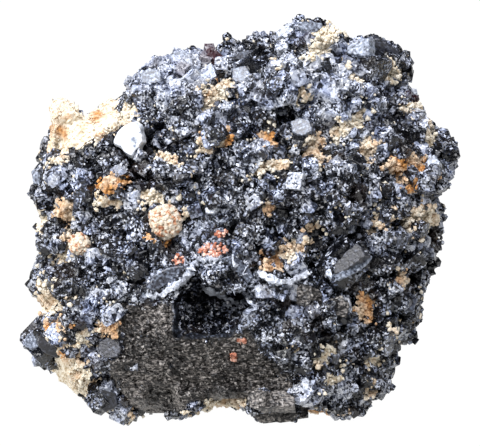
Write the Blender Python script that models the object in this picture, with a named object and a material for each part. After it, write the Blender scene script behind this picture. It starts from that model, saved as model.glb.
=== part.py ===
"""Perovskite specimen: a hand-sized lump of small intergrown perovskite crystals on a pale carbonate matrix.

The lump stands on a flat broken base. Its show face is square to a line of sight that comes down at 15 degrees.
Everything is modelled in the show face's own frame, in millimetres turned to metres: u runs to the right, v up the
face and w out of the face. One empty carries that frame and stands it on the ground.
"""

import math
import random

import bmesh
import bpy
from mathutils import Matrix, Vector, noise

MM = 0.001

# Driving dimensions, in millimetres and degrees.
FACE_TILT = 15.0
FACE_CENTRE = (-0.25, -0.25, 26.8)
FRONT_DEPTH = 17.6
FRONT_LEAN = 0.11
BACK_DEPTH = 21.0
ROUNDING = 2.6
BODY_INSET = 1.4
BODY_SUBDIVISIONS = 4
NORMAL_REACH = 0.05
GAP = 0.3
SEED = 7

# Uneven lumps all over the body: how many a millimetre, and how high.
LUMPS = [(0.13, 1.3), (0.31, 0.6)]

# The lump's outline on the show face, anticlockwise from the right: across, up.
OUTLINE = [
    (29.6, 11.6), (28.3, 13.6), (25.8, 15.0), (23.4, 19.2), (22.0, 23.6), (18.6, 26.2), (13.6, 27.2),
    (9.2, 28.0), (5.4, 26.0), (1.4, 24.4), (-3.5, 24.2), (-7.7, 23.8), (-12.9, 21.8), (-16.6, 19.2),
    (-19.6, 17.0), (-23.4, 15.9), (-27.6, 15.6), (-28.8, 11.4), (-29.0, 6.4), (-28.3, 1.6),
    (-27.6, -5.0), (-28.6, -10.7), (-30.4, -15.6), (-30.0, -18.2), (-26.6, -22.8), (-23.4, -26.6),
    (-18.6, -28.0), (-12.5, -28.6), (-7.0, -27.9), (0.0, -27.7), (4.9, -28.4), (9.4, -28.6),
    (14.4, -28.0), (17.6, -26.2), (20.4, -24.0), (22.3, -19.4), (24.0, -14.3), (25.9, -10.3),
    (26.8, -5.4), (27.2, -1.0), (28.9, 4.6),
]

# Broad swells and hollows of the show face: across, up, half width, half height, how far it stands out.
SWELL_FALLOFF = 0.9
SWELLS = [
    (7.0, 18.8, 14.0, 4.0, 1.5),
    (8.4, 14.6, 11.0, 2.2, -2.1),
    (-2.0, 15.8, 5.0, 2.0, -1.7),
    (-0.7, 12.0, 3.2, 2.4, -1.5),
    (21.5, 5.5, 4.0, 2.6, -1.9),
    (4.2, -4.6, 2.8, 2.2, -2.3),
    (19.0, -9.6, 5.0, 2.0, -1.8),
    (16.5, -15.5, 2.2, 2.6, -1.5),
    (-20.0, 5.8, 4.2, 2.0, -1.6),
    (-19.0, 9.3, 3.8, 2.6, 1.2),
    (12.5, 5.0, 4.0, 3.0, 1.0),
    (-5.0, -1.0, 7.5, 4.5, -1.2),
    (13.0, -19.0, 6.0, 4.0, 0.9),
]

# The split between crust and matrix: its level, its waves (how many a millimetre, how high), its steps and its reach.
MATRIX_LEVEL = -9.5
SPLIT_WAVES = (0.22, 1.2)
SPLIT_SLICE = 3.0
SPLIT_STEPS = 16
SPLIT_HALF_WIDTH = 40.0
SPLIT_BACK = -45.0

# Where the matrix comes through to the show face: across, up, half width, half height, how far forward.
MATRIX_HORNS = [
    (-24.0, 14.0, 9.5, 5.8, 31.0),
    (-27.0, -20.5, 6.4, 8.0, 27.0),
]

# Flat faces of the large crystal: a point on each, and the direction that it looks.
LARGE_FRONT_FACES = [
    ((-7.0, -7.2, 19.6), (-0.12, 0.40, 0.91)),
    ((-9.5, -12.5, 19.6), (-0.38, -0.04, 0.92)),
    ((-5.0, -14.5, 20.0), (0.05, -0.50, 0.86)),
    ((3.0, -12.0, 18.4), (0.42, 0.10, 0.90)),
]
LARGE_SIDE_FACES = [
    ((-17.2, -14.0, 14.0), (-1.0, 0.0, 0.10)),
    ((-11.8, -5.9, 14.0), (-0.82, 0.57, 0.0)),
    ((-4.6, 1.9, 14.0), (-0.23, 0.97, 0.0)),
    ((1.6, -2.5, 14.0), (0.93, 0.36, 0.0)),
    ((6.9, -16.0, 12.0), (0.98, -0.10, 0.12)),
    ((-4.0, -22.9, 12.0), (0.05, -0.99, 0.0)),
]
LARGE_BACK = ((0.0, 0.0, 7.0), (0.0, 0.0, -1.0))
BLANK_SIZE = 90.0
SOCKET_FRONT = 8.0

# Ledges of the large crystal's fracture: how far up each starts, how it falls to the right, and how deep it steps.
LEDGES = [(-15.6, -0.20, 0.35), (-17.3, -0.10, 0.75), (-19.0, -0.26, 1.05), (-20.6, -0.16, 1.5), (-22.0, -0.05, 2.0)]
LEDGE_FACE = 2
LEDGE_UNDERCUT = -0.25

# The open pocket in the large crystal: its mouth's corners on the face, and its rings: how far out, and how large.
POCKET_MOUTH = [
    (-9.6, -10.0), (-7.4, -7.0), (-5.6, -6.5), (-4.9, -8.2), (-3.4, -8.9), (-0.4, -9.4),
    (1.7, -8.0), (2.2, -11.0), (0.6, -13.6), (-1.0, -16.0), (-9.2, -16.2),
]
POCKET_RINGS = [(11.2, 0.76), (17.5, 0.98), (24.0, 1.04)]

# Crystals and grains that stand clear of the rest: name, about where they sit, how far out, size, turn, mineral.
STANDING = [
    ("bright_plate", (-15.9, 12.0, 14.0), -0.3, (4.8, 4.8, 3.4), (-16, 4, 20), "perovskite"),
    ("top_right_crystal", (19.6, 24.0, 7.0), -0.9, (4.8, 4.4, 4.6), (34, 20, -24), "perovskite"),
    ("right_face_crystal", (15.9, -6.0, 17.0), -0.4, (6.0, 5.2, 5.0), (6, -16, -31), "perovskite"),
    ("lower_left_crystal", (-28.6, -17.6, 4.0), -0.6, (5.4, 4.8, 5.0), (18, 24, 34), "perovskite"),
    ("bottom_block", (6.4, -26.8, 6.2), -0.3, (6.2, 4.2, 4.0), (4, -6, -7), "perovskite"),
    ("striated_prism", (0.4, 24.0, 8.0), -0.8, (6.8, 3.0, 3.6), (12, 0, 4), "perovskite"),
    ("pale_nodule", (-11.5, 0.2, 18.0), 0.5, (4.8, 4.6, 4.4), (0, 0, 12), "carbonate"),
    ("cream_grain", (-23.8, -3.2, 11.5), 0.3, (3.0, 3.4, 3.0), (10, -12, -14), "carbonate"),
]
STANDING_CLEAR = 0.5
STANDING_CHAMFER = 0.16
GRAIN_KNOBS = (0.92, 1.06)

# Crystals grown into the crust: places tried, how far they wander, and each one's size, sides, lean and so on.
CRUST_CRYSTALS = 395
CRYSTAL_WANDER = 0.05
CRYSTAL_SIZE = (2.6, 4.9)
CRYSTAL_SIDES = (0.8, 1.25)
CRYSTAL_LEAN = 40.0
CRYSTAL_CHAMFER = (0.16, 0.26)
CRYSTAL_SINK = (0.0, 0.25)
CRYSTAL_REACH = 0.8
CHAMFERED_ONE_IN = 3

# Blocks broken out of the matrix: places tried, and each one's size, breadth, height, lean and sink.
MATRIX_BLOCKS = 112
BLOCK_SIZE = (3.6, 7.0)
BLOCK_BREADTH = (0.7, 1.2)
BLOCK_HEIGHT = 0.6
BLOCK_LEAN = 16.0
BLOCK_SINK = 0.16
BLOCK_REACH = 0.78

# How much of its reach a crystal or block keeps clear of the standing ones.
CLEARANCE = 0.8
GOLDEN_ANGLE = math.pi * (3.0 - math.sqrt(5.0))

COLOURS = {
    "perovskite": ((0.030, 0.032, 0.040, 1.0), 0.30),
    "carbonate": ((0.80, 0.68, 0.48, 1.0), 0.85),
}


def clear_scene():
    """Removes whatever the file holds."""
    for thing in list(bpy.data.objects):
        bpy.data.objects.remove(thing, do_unlink=True)


def collection(name):
    made = bpy.data.collections.new(name)
    bpy.context.scene.collection.children.link(made)
    return made


def mineral(name):
    """A material with the mineral's colour and roughness."""
    found = bpy.data.materials.get(name)
    if found:
        return found
    colour, roughness = COLOURS[name]
    made = bpy.data.materials.new(name)
    made.use_nodes = True
    shader = made.node_tree.nodes["Principled BSDF"]
    shader.inputs["Base Color"].default_value = colour
    shader.inputs["Roughness"].default_value = roughness
    shader.inputs["Metallic"].default_value = 0.0
    return made


def object_from(shape, name, where):
    """An object in metres from a bmesh in millimetres."""
    bmesh.ops.recalc_face_normals(shape, faces=shape.faces)
    bmesh.ops.scale(shape, vec=(MM, MM, MM), verts=shape.verts)
    mesh = bpy.data.meshes.new(name)
    shape.to_mesh(mesh)
    shape.free()
    made = bpy.data.objects.new(name, mesh)
    where.objects.link(made)
    return made


def hill(u, v, swell):
    """How much of a swell is felt at a place on the face, from 0 to 1."""
    across, up, half_width, half_height = swell[:4]
    far = ((u - across) / half_width) ** 2 + ((v - up) / half_height) ** 2
    return math.exp(-SWELL_FALLOFF * far)


def outline_reach(angle):
    """Distance from the middle of the face to the outline, in the direction of the angle."""
    corners = sorted((math.atan2(v, u), math.hypot(u, v)) for u, v in OUTLINE)
    first, last = corners[0], corners[-1]
    corners = [(last[0] - math.tau, last[1])] + corners + [(first[0] + math.tau, first[1])]
    for (angle_a, reach_a), (angle_b, reach_b) in zip(corners, corners[1:]):
        if angle_a <= angle <= angle_b:
            share = (angle - angle_a) / (angle_b - angle_a)
            return reach_a + share * (reach_b - reach_a)
    return first[1]


def body_point(direction):
    """The lump's surface in a direction: a rounded block on the outline, with broad swells on its face."""
    a, b, c = direction
    flat = math.hypot(a, b)
    stretch = (flat**ROUNDING + abs(c) ** ROUNDING) ** (-1.0 / ROUNDING)
    reach = outline_reach(math.atan2(b, a)) - BODY_INSET
    u = reach * stretch * a
    v = reach * stretch * b
    depth = (FRONT_DEPTH - FRONT_LEAN * v) if c > 0 else BACK_DEPTH
    w = depth * stretch * c
    w += max(0.0, c) * sum(swell[4] * hill(u, v, swell) for swell in SWELLS)
    lumpy = sum(noise.noise(Vector((u, v, w)) * often) * high for often, high in LUMPS)
    return Vector((u, v, w)) + Vector(direction) * lumpy


def direction_to(place):
    """The direction in which the body's surface passes about through a place."""
    u, v, w = place
    reach = outline_reach(math.atan2(v, u))
    depth = (FRONT_DEPTH - FRONT_LEAN * v) if w > 0 else BACK_DEPTH
    return Vector((u / reach, v / reach, w / depth)).normalized()


def outward_at(direction):
    """The body's point in a direction, and its normal there."""
    along = Vector(direction)
    side = along.orthogonal().normalized() * NORMAL_REACH
    other = along.cross(side).normalized() * NORMAL_REACH
    point = body_point(along)
    first = body_point((along + side).normalized()) - body_point((along - side).normalized())
    second = body_point((along + other).normalized()) - body_point((along - other).normalized())
    normal = first.cross(second).normalized()
    return point, normal if normal.dot(along) > 0 else -normal


def split_level(u, v):
    """How far out of the face the matrix reaches, under or through the crust."""
    rise = sum(horn[4] * hill(u, v, horn) for horn in MATRIX_HORNS)
    often, high = SPLIT_WAVES
    return MATRIX_LEVEL + rise + high * noise.noise(Vector((u, v, SPLIT_SLICE)) * often)


def to_ground_frame():
    """Carries the face's frame, in millimetres, to the ground's."""
    return Matrix.Translation(FACE_CENTRE) @ Matrix.Rotation(math.radians(90 - FACE_TILT), 4, "X")


def cut_flat(shape, point, outward):
    """Cuts a closed shape off flat, dropping what lies outward of the plane, and closes the cut."""
    everything = shape.verts[:] + shape.edges[:] + shape.faces[:]
    cut = bmesh.ops.bisect_plane(
        shape, geom=everything, plane_co=point, plane_no=Vector(outward).normalized(), clear_outer=True
    )
    edges = [g for g in cut["geom_cut"] if isinstance(g, bmesh.types.BMEdge)]
    if edges:
        bmesh.ops.contextual_create(shape, geom=edges)


def cut_at_ground(shape):
    """The broken base: everything under the ground plane is gone."""
    back = to_ground_frame().inverted()
    ground = back @ Vector((0, 0, 0))
    cut_flat(shape, ground, back.to_3x3() @ Vector((0, 0, -1)))


def lump(name, where):
    """The whole lump, crust and matrix together."""
    shape = bmesh.new()
    bmesh.ops.create_icosphere(shape, subdivisions=BODY_SUBDIVISIONS, radius=1.0)
    for vert in shape.verts:
        vert.co = body_point(vert.co.normalized())
    cut_at_ground(shape)
    return object_from(shape, name, where)


def split_cutter(name, lift, where):
    """A block that fills the matrix's side of the split. Its front is the wavy split itself."""
    shape = bmesh.new()
    bmesh.ops.create_grid(shape, x_segments=SPLIT_STEPS, y_segments=SPLIT_STEPS, size=SPLIT_HALF_WIDTH)
    for vert in shape.verts:
        vert.co.z = split_level(vert.co.x, vert.co.y)
    bmesh.ops.triangulate(shape, faces=shape.faces[:], quad_method="FIXED")
    shape.normal_update()
    lifted = [vert.co + vert.normal * lift for vert in shape.verts]
    for vert, place in zip(shape.verts, lifted):
        vert.co = place
    front = shape.faces[:]
    sides = bmesh.ops.extrude_face_region(shape, geom=front)
    back = [g for g in sides["geom"] if isinstance(g, bmesh.types.BMVert)]
    for vert in back:
        vert.co.z = SPLIT_BACK
    return object_from(shape, name, where)


def boolean(target, other, operation):
    """Applies a Boolean to the target's mesh."""
    step = target.modifiers.new("join", "BOOLEAN")
    step.operation = operation
    step.object = other
    graph = bpy.context.evaluated_depsgraph_get()
    mesh = bpy.data.meshes.new_from_object(target.evaluated_get(graph))
    target.modifiers.remove(step)
    old = target.data
    target.data = mesh
    bpy.data.meshes.remove(old)


def drop(thing):
    bpy.data.objects.remove(thing, do_unlink=True)


def keep_outer_shell(target):
    """Leaves the target's largest shell: no chips cut loose, and no voids shut in between crystals."""
    shape = bmesh.new()
    shape.from_mesh(target.data)
    waiting = set(shape.verts)
    shells = []
    while waiting:
        shell = [waiting.pop()]
        for vert in shell:
            for edge in vert.link_edges:
                other = edge.other_vert(vert)
                if other in waiting:
                    waiting.remove(other)
                    shell.append(other)
        shells.append(shell)
    shells.sort(key=len)
    for shell in shells[:-1]:
        bmesh.ops.delete(shape, geom=shell, context="VERTS")
    shape.to_mesh(target.data)
    shape.free()


def crystal_shape(size, chamfer):
    """A pseudo-cubic crystal: a block, its eight corners cut to small triangles where it has a chamfer."""
    shape = bmesh.new()
    bmesh.ops.create_cube(shape, size=1.0)
    bmesh.ops.scale(shape, vec=size, verts=shape.verts)
    if chamfer:
        bmesh.ops.bevel(shape, geom=shape.verts[:], offset=chamfer, segments=1, affect="VERTICES")
    return shape


def grain_shape(size, dice):
    """A rounded, knobbly grain."""
    shape = bmesh.new()
    bmesh.ops.create_icosphere(shape, subdivisions=2, radius=0.5)
    for vert in shape.verts:
        vert.co *= dice.uniform(*GRAIN_KNOBS)
    bmesh.ops.scale(shape, vec=size, verts=shape.verts)
    return shape


def facing_turn(normal, turn):
    """A rotation that stands a shape's top along the normal, then turns it by three angles in degrees."""
    stand = normal.to_track_quat("Z", "Y").to_matrix().to_4x4()
    turned = [Matrix.Rotation(math.radians(angle), 4, axis) for angle, axis in zip(turn, "XYZ")]
    return stand @ turned[0] @ turned[1] @ turned[2]


def placed(shape, centre, rotation):
    bmesh.ops.transform(shape, matrix=Matrix.Translation(centre) @ rotation, verts=shape.verts)
    return shape


def standing_piece(row, grow, where, name):
    """One crystal or grain that stands clear, or the socket for it when grow is over 0."""
    _, place, out, size, turn, stuff = row
    centre, normal = outward_at(direction_to(place))
    centre = centre + normal * out
    grown = [side + 2 * grow for side in size]
    if stuff == "carbonate":
        shape = grain_shape(grown, random.Random(SEED))
    else:
        shape = crystal_shape(grown, min(grown) * STANDING_CHAMFER)
    return object_from(placed(shape, centre, facing_turn(normal, turn)), name, where)


def large_crystal(name, front_grow, side_grow, where):
    """The large crystal: a block cut to its flat faces, each pushed out by its grow."""
    shape = bmesh.new()
    bmesh.ops.create_cube(shape, size=BLANK_SIZE)
    for faces, grow in ((LARGE_FRONT_FACES, front_grow), (LARGE_SIDE_FACES, side_grow), ([LARGE_BACK], side_grow)):
        for point, outward in faces:
            outward = Vector(outward).normalized()
            cut_flat(shape, Vector(point) + outward * grow, outward)
    return object_from(shape, name, where)


def ledge_cutter(name, ledge, where):
    """What one ledge of the fracture takes away: all in front of its plane and below its line."""
    up, fall, step = ledge
    point, outward = LARGE_FRONT_FACES[LEDGE_FACE]
    outward = Vector(outward).normalized()
    shape = bmesh.new()
    bmesh.ops.create_cube(shape, size=BLANK_SIZE)
    cut_flat(shape, Vector(point) - outward * step, -outward)
    cut_flat(shape, Vector((point[0], up, point[2])), (-fall, 1.0, LEDGE_UNDERCUT))
    return object_from(shape, name, where)


def pocket(name, where):
    """The pocket: a tapered prism under the mouth's outline."""
    shape = bmesh.new()
    middle = sum((Vector(corner) for corner in POCKET_MOUTH), Vector((0, 0))) / len(POCKET_MOUTH)
    rings = []
    for height, share in POCKET_RINGS:
        corners = [middle + (Vector(corner) - middle) * share for corner in POCKET_MOUTH]
        rings.append([shape.verts.new((corner.x, corner.y, height)) for corner in corners])
    for lower, upper in zip(rings, rings[1:]):
        for i in range(len(lower)):
            after = (i + 1) % len(lower)
            shape.faces.new((lower[i], lower[after], upper[after], upper[i]))
    shape.faces.new(rings[0])
    shape.faces.new(rings[-1])
    return object_from(shape, name, where)


def spiral_directions(count):
    """Directions spread evenly over a sphere."""
    for i in range(count):
        c = 1.0 - 2.0 * (i + 0.5) / count
        flat = math.sqrt(1.0 - c * c)
        yield (flat * math.cos(i * GOLDEN_ANGLE), flat * math.sin(i * GOLDEN_ANGLE), c)


def random_turn(lean, dice):
    """Two leans up to the given angle, and a turn about the top, in degrees."""
    return [dice.uniform(-lean, lean), dice.uniform(-lean, lean), dice.uniform(0, 90)]


def height_over_ground(point):
    return (to_ground_frame() @ Vector(point)).z


def clear_of(point, reach, taken):
    return all((point - centre).length > reach + radius for centre, radius in taken)


def grown_crystals(taken, where):
    """The larger crystals of the crust, spread over its side of the split and clear of the standing ones."""
    dice = random.Random(SEED)
    for i, direction in enumerate(spiral_directions(CRUST_CRYSTALS)):
        wander = Vector([dice.uniform(-CRYSTAL_WANDER, CRYSTAL_WANDER) for _ in range(3)])
        point, normal = outward_at((Vector(direction) + wander).normalized())
        size = dice.uniform(*CRYSTAL_SIZE)
        turn = random_turn(CRYSTAL_LEAN, dice)
        sides = [size * dice.uniform(*CRYSTAL_SIDES) for _ in range(3)]
        reach = max(sides) * CRYSTAL_REACH
        level = split_level(point.x, point.y)
        if point.z < level + reach or height_over_ground(point) < reach:
            continue
        if not clear_of(point, reach * CLEARANCE, taken):
            continue
        chamfer = 0.0 if i % CHAMFERED_ONE_IN else size * dice.uniform(*CRYSTAL_CHAMFER)
        shape = crystal_shape(sides, chamfer)
        centre = point - normal * size * dice.uniform(*CRYSTAL_SINK)
        yield object_from(placed(shape, centre, facing_turn(normal, turn)), "grown", where)


def matrix_blocks(taken, where):
    """Blocky breaks of the matrix, spread over its side of the split."""
    dice = random.Random(SEED + 1)
    for direction in spiral_directions(MATRIX_BLOCKS):
        point, normal = outward_at(direction)
        size = dice.uniform(*BLOCK_SIZE)
        turn = random_turn(BLOCK_LEAN, dice)
        sides = [size, size * dice.uniform(*BLOCK_BREADTH), size * BLOCK_HEIGHT]
        reach = max(sides) * BLOCK_REACH
        level = split_level(point.x, point.y)
        if point.z > level - reach or height_over_ground(point) < reach:
            continue
        if not clear_of(point, reach * CLEARANCE, taken):
            continue
        shape = crystal_shape(sides, 0.0)
        centre = point - normal * size * BLOCK_SINK
        yield object_from(placed(shape, centre, facing_turn(normal, turn)), "block", where)


def build():
    clear_scene()
    specimen = collection("perovskite_specimen")
    cutters = collection("cutters")

    taken = []
    for row in STANDING:
        centre, _ = outward_at(direction_to(row[1]))
        taken.append((centre, max(row[3]) * 0.5 + STANDING_CLEAR))

    crust = lump("crystal_crust", specimen)
    for thing in grown_crystals(taken, cutters):
        boolean(crust, thing, "UNION")
        drop(thing)
    matrix = lump("matrix", specimen)
    for thing in matrix_blocks(taken, cutters):
        boolean(matrix, thing, "UNION")
        drop(thing)

    behind = split_cutter("behind", 0.0, cutters)
    behind_with_gap = split_cutter("behind_with_gap", GAP, cutters)
    boolean(crust, behind_with_gap, "DIFFERENCE")
    boolean(matrix, behind, "INTERSECT")
    drop(behind)
    drop(behind_with_gap)

    big = large_crystal("large_crystal", 0.0, 0.0, specimen)
    hollow = pocket("hollow", cutters)
    boolean(big, hollow, "DIFFERENCE")
    drop(hollow)
    for ledge in LEDGES:
        step = ledge_cutter("step", ledge, cutters)
        boolean(big, step, "DIFFERENCE")
        drop(step)
    socket = large_crystal("socket", SOCKET_FRONT, GAP, cutters)
    boolean(crust, socket, "DIFFERENCE")
    boolean(matrix, socket, "DIFFERENCE")
    drop(socket)

    nodes = {"crystal_crust": crust, "matrix": matrix, "large_crystal": big}
    for row in STANDING:
        nodes[row[0]] = standing_piece(row, 0.0, specimen, row[0])
        socket = standing_piece(row, GAP, cutters, "socket")
        boolean(crust, socket, "DIFFERENCE")
        boolean(matrix, socket, "DIFFERENCE")
        drop(socket)

    keep_outer_shell(crust)
    keep_outer_shell(matrix)

    show_face = bpy.data.objects.new("show_face", None)
    specimen.objects.link(show_face)
    show_face.location = Vector(FACE_CENTRE) * MM
    show_face.rotation_euler = (math.radians(90 - FACE_TILT), 0, 0)
    stuffs = {row[0]: row[5] for row in STANDING}
    stuffs["matrix"] = "carbonate"
    for name, node in nodes.items():
        node.parent = show_face
        node.data.materials.clear()
        node.data.materials.append(mineral(stuffs.get(name, "perovskite")))


build()
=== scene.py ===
"""The looks of a perovskite specimen: small dark crystals on a pale matrix, and one large broken crystal.

Places on the show face are given in pixels of the photograph's 480 x 446 frame, and are carried along the
camera's line of sight to the solid's surface. Everything else is a real size in millimetres.
"""

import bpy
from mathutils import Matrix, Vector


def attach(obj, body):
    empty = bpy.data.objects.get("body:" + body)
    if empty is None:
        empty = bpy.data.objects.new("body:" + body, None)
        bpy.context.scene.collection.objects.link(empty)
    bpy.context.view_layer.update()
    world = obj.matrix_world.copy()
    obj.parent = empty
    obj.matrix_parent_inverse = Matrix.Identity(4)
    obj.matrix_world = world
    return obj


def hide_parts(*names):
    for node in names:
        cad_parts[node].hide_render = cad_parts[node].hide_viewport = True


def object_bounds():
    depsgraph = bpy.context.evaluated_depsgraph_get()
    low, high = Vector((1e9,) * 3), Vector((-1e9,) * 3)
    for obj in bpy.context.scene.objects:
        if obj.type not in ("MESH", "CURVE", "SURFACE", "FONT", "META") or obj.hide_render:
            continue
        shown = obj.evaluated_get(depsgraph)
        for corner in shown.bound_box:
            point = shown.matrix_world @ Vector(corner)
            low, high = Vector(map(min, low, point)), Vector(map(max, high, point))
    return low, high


bl_info = {
    "name": "Perovskite specimen looks",
    "version": (1, 0, 0),
    "blender": (4, 5, 0),
    "location": "3D View > Sidebar > Specimen",
    "description": "Dresses the specimen's solids with crystals, carbonate grains and stains",
    "category": "Object",
}

import math

import bpy
import numpy as np
from bpy.props import FloatProperty, IntProperty, PointerProperty, StringProperty
from mathutils import Matrix, Vector, noise
from mathutils.bvhtree import BVHTree
from mathutils.kdtree import KDTree

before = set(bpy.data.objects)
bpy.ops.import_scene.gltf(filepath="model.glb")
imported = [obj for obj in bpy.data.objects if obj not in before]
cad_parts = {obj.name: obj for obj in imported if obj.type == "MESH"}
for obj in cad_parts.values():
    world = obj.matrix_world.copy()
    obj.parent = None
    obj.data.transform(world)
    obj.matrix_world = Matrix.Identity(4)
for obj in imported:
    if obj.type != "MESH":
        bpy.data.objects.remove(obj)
CAD_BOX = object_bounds()

MM = 0.001

# The show face: its middle, and how far it leans back.
FACE_CENTRE = Vector((-0.25, -0.25, 26.8)) * MM
FACE_TILT = math.radians(15.0)
FACE_TURN = Matrix.Rotation(math.radians(90.0) - FACE_TILT, 3, "X")
FACE_OUT = FACE_TURN @ Vector((0.0, 0.0, 1.0))

# The photograph's frame.
PHOTO_SIZE = (480, 446)
PHOTO_MIDDLE = (240.0, 223.0)
PIXEL = 0.1435 * MM
CAMERA_DISTANCE = 0.8
SENSOR_WIDTH = 36.0

DARK_NODES = ("crystal_crust",)
PALE_NODES = ("matrix",)
REPLACED_NODES = ("crystal_crust", "large_crystal", "matrix", "bright_plate", "pale_nodule", "cream_grain")

# The pocket's mouth on the large crystal, across and up in millimetres of the show face, and how far out
# its floor is.
POCKET_MOUTH = [
    (-9.6, -10.0), (-7.4, -7.0), (-5.6, -6.5), (-4.9, -8.2), (-3.4, -8.9), (-0.4, -9.4),
    (1.7, -8.0), (2.2, -11.0), (0.6, -13.6), (-1.0, -16.0), (-9.2, -16.2),
]
POCKET_LIP = 16.6

# The small crystals and the cream grains are joined in this many pieces.
CRUST_PIECES = 5
GRAIN_PIECES = 2

# The size of the faces that each rebuilt solid gets.
ROCK_STEP = {
    "crystal_crust": 0.40 * MM, "matrix": 0.42 * MM, "large_crystal": 0.24 * MM,
    "pale_nodule": 0.16 * MM, "cream_grain": 0.16 * MM,
}

# How many places are tried for each kind of crystal or grain.
GRAIN_TRIES = 190000
SUGARY_TRIES = 90000
RUST_TRIES = 300000
MATRIX_TRIES = 14000
KNOB_TRIES = 6000
EDGE_TRIES = 16000

# The soft lights: name, place, width and depth in metres, power in watts, colour.
KEY_PLACE = Vector((-0.32, -0.30, 0.95))
LIGHTS = [
    ("overhead_panel", (-0.12, -0.20, 1.0), 1.5, 1.6, 24.0, "#f6f7ff"),
    ("front_panel", (-0.20, -0.80, 0.72), 0.7, 0.5, 6.5, "#fbfbff"),
    ("key_softbox", KEY_PLACE, 0.36, 0.36, 6.5, "#f8f9ff"),
    ("left_panel", (-0.80, -0.40, 0.16), 0.5, 0.4, 6.0, "#ffffff"),
]
FLOOR_SIZE = 6.0
SKY_STRENGTH = 0.05

# The facets that break up a crystal face in its material: how wide in millimetres, and how much they tilt.
BROAD_FACET = (0.9, 1.0)
FINE_FACET = (0.28, 1.2)

# Cream patches of matrix between the crystals: pixel across and down, half length, half width in pixels,
# turn in degrees, and how strongly iron stains it, from 0 to 1.
CREAM_PATCHES = [
    (325, 38, 20, 10, 45, 0.0), (316, 56, 9, 6, 30, 0.05), (388, 70, 13, 8, 0, 0.1),
    (351, 72, 12, 4, -55, 0.1), (213, 94, 18, 11, 40, 0.2), (198, 106, 8, 6, 20, 0.1),
    (300, 96, 10, 5, 0, 0.3), (412, 110, 10, 6, 30, 0.2), (430, 136, 15, 5, 80, 0.1),
    (348, 126, 20, 9, 40, 0.2), (210, 143, 12, 10, 40, 0.5), (313, 149, 14, 11, 0, 0.4),
    (268, 141, 8, 6, -80, 0.9), (227, 134, 6, 4, -60, 0.9), (366, 152, 11, 7, 90, 0.4),
    (384, 138, 6, 4, -50, 0.6), (277, 166, 11, 6, 10, 0.2), (257, 169, 7, 5, 0, 0.3),
    (166, 160, 17, 5, -30, 0.3), (148, 198, 11, 6, 0, 0.1), (410, 171, 18, 12, -30, 0.9),
    (393, 166, 7, 6, 0, 0.7), (432, 177, 7, 4, -30, 0.9), (445, 190, 6, 4, 0, 0.3),
    (112, 184, 13, 7, 20, 0.9), (106, 201, 11, 5, -20, 0.3), (178, 195, 7, 4, 60, 0.3),
    (187, 212, 6, 4, 90, 0.1), (66, 211, 11, 8, 70, 0.6), (40, 221, 13, 5, -80, 0.1),
    (66, 246, 13, 8, 80, 0.3), (158, 240, 11, 4, 0, 1.0), (340, 199, 7, 4, 50, 0.3),
    (386, 190, 7, 5, -30, 0.2), (420, 220, 18, 10, 20, 0.3), (380, 222, 11, 6, 40, 0.4),
    (267, 207, 6, 5, -20, 0.5), (310, 228, 9, 4, 20, 0.5), (292, 251, 15, 9, 30, 0.3),
    (269, 262, 13, 7, 10, 0.7), (338, 249, 5, 3, 80, 0.6), (214, 271, 4, 4, 0, 0.4),
    (130, 270, 7, 4, 0, 0.4), (400, 279, 8, 5, 75, 0.5), (365, 306, 15, 7, 85, 0.8),
    (341, 308, 6, 5, 10, 0.3), (283, 322, 10, 4, -85, 0.2), (293, 347, 4, 4, 0, 0.2),
    (395, 328, 6, 4, 60, 0.1), (418, 314, 5, 4, 80, 0.2), (112, 328, 12, 7, 15, 0.6),
    (86, 336, 9, 6, -40, 0.2), (322, 357, 11, 7, 45, 0.2), (375, 356, 14, 5, 65, 0.1),
    (131, 361, 8, 4, 30, 0.2), (331, 378, 9, 5, -10, 0.2), (277, 387, 10, 6, 30, 0.5),
    (370, 390, 8, 4, 40, 0.4), (219, 405, 27, 7, 10, 0.3), (305, 414, 17, 5, 0, 0.7),
    (163, 408, 13, 4, 40, 0.5), (127, 411, 6, 4, -50, 0.6), (346, 414, 5, 3, 0, 0.4),
    (72, 295, 7, 4, 60, 0.3), (84, 122, 36, 16, 6, 0.15), (58, 145, 18, 10, 80, 0.3),
    (118, 118, 14, 7, 15, 0.1), (132, 108, 8, 5, 0, 0.1), (47, 304, 24, 12, 80, 0.25),
    (60, 326, 12, 6, 0, 0.9), (74, 376, 36, 13, -62, 0.25), (86, 402, 14, 9, -30, 0.3),
]

# How much wider the patches are before their edges turn ragged, and how deep they reach.
PATCH_SPREAD = (1.3, 1.35)
PATCH_DEPTH = 6.0 * MM

# Where iron stains the carbonate ochre to orange: pixel across and down, half length and half width in
# pixels.
STAIN_SPOTS = [
    (97, 114, 8, 7), (62, 134, 7, 7), (102, 138, 6, 5), (46, 162, 6, 4), (50, 128, 5, 6), (70, 118, 5, 4),
    (54, 324, 12, 5), (44, 312, 5, 6), (60, 268, 5, 5), (66, 352, 4, 6), (90, 408, 8, 4), (80, 372, 5, 5),
    (216, 82, 5, 4), (208, 96, 4, 3), (104, 180, 8, 5), (226, 142, 5, 8),
]

# Where the matrix stays clear of dark crystals: pixel across and down, half length and half width in pixels.
CLEAR_LUMPS = [
    (84, 124, 52, 30), (48, 305, 16, 30), (74, 380, 22, 38), (42, 220, 12, 20), (328, 40, 22, 14),
]

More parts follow.
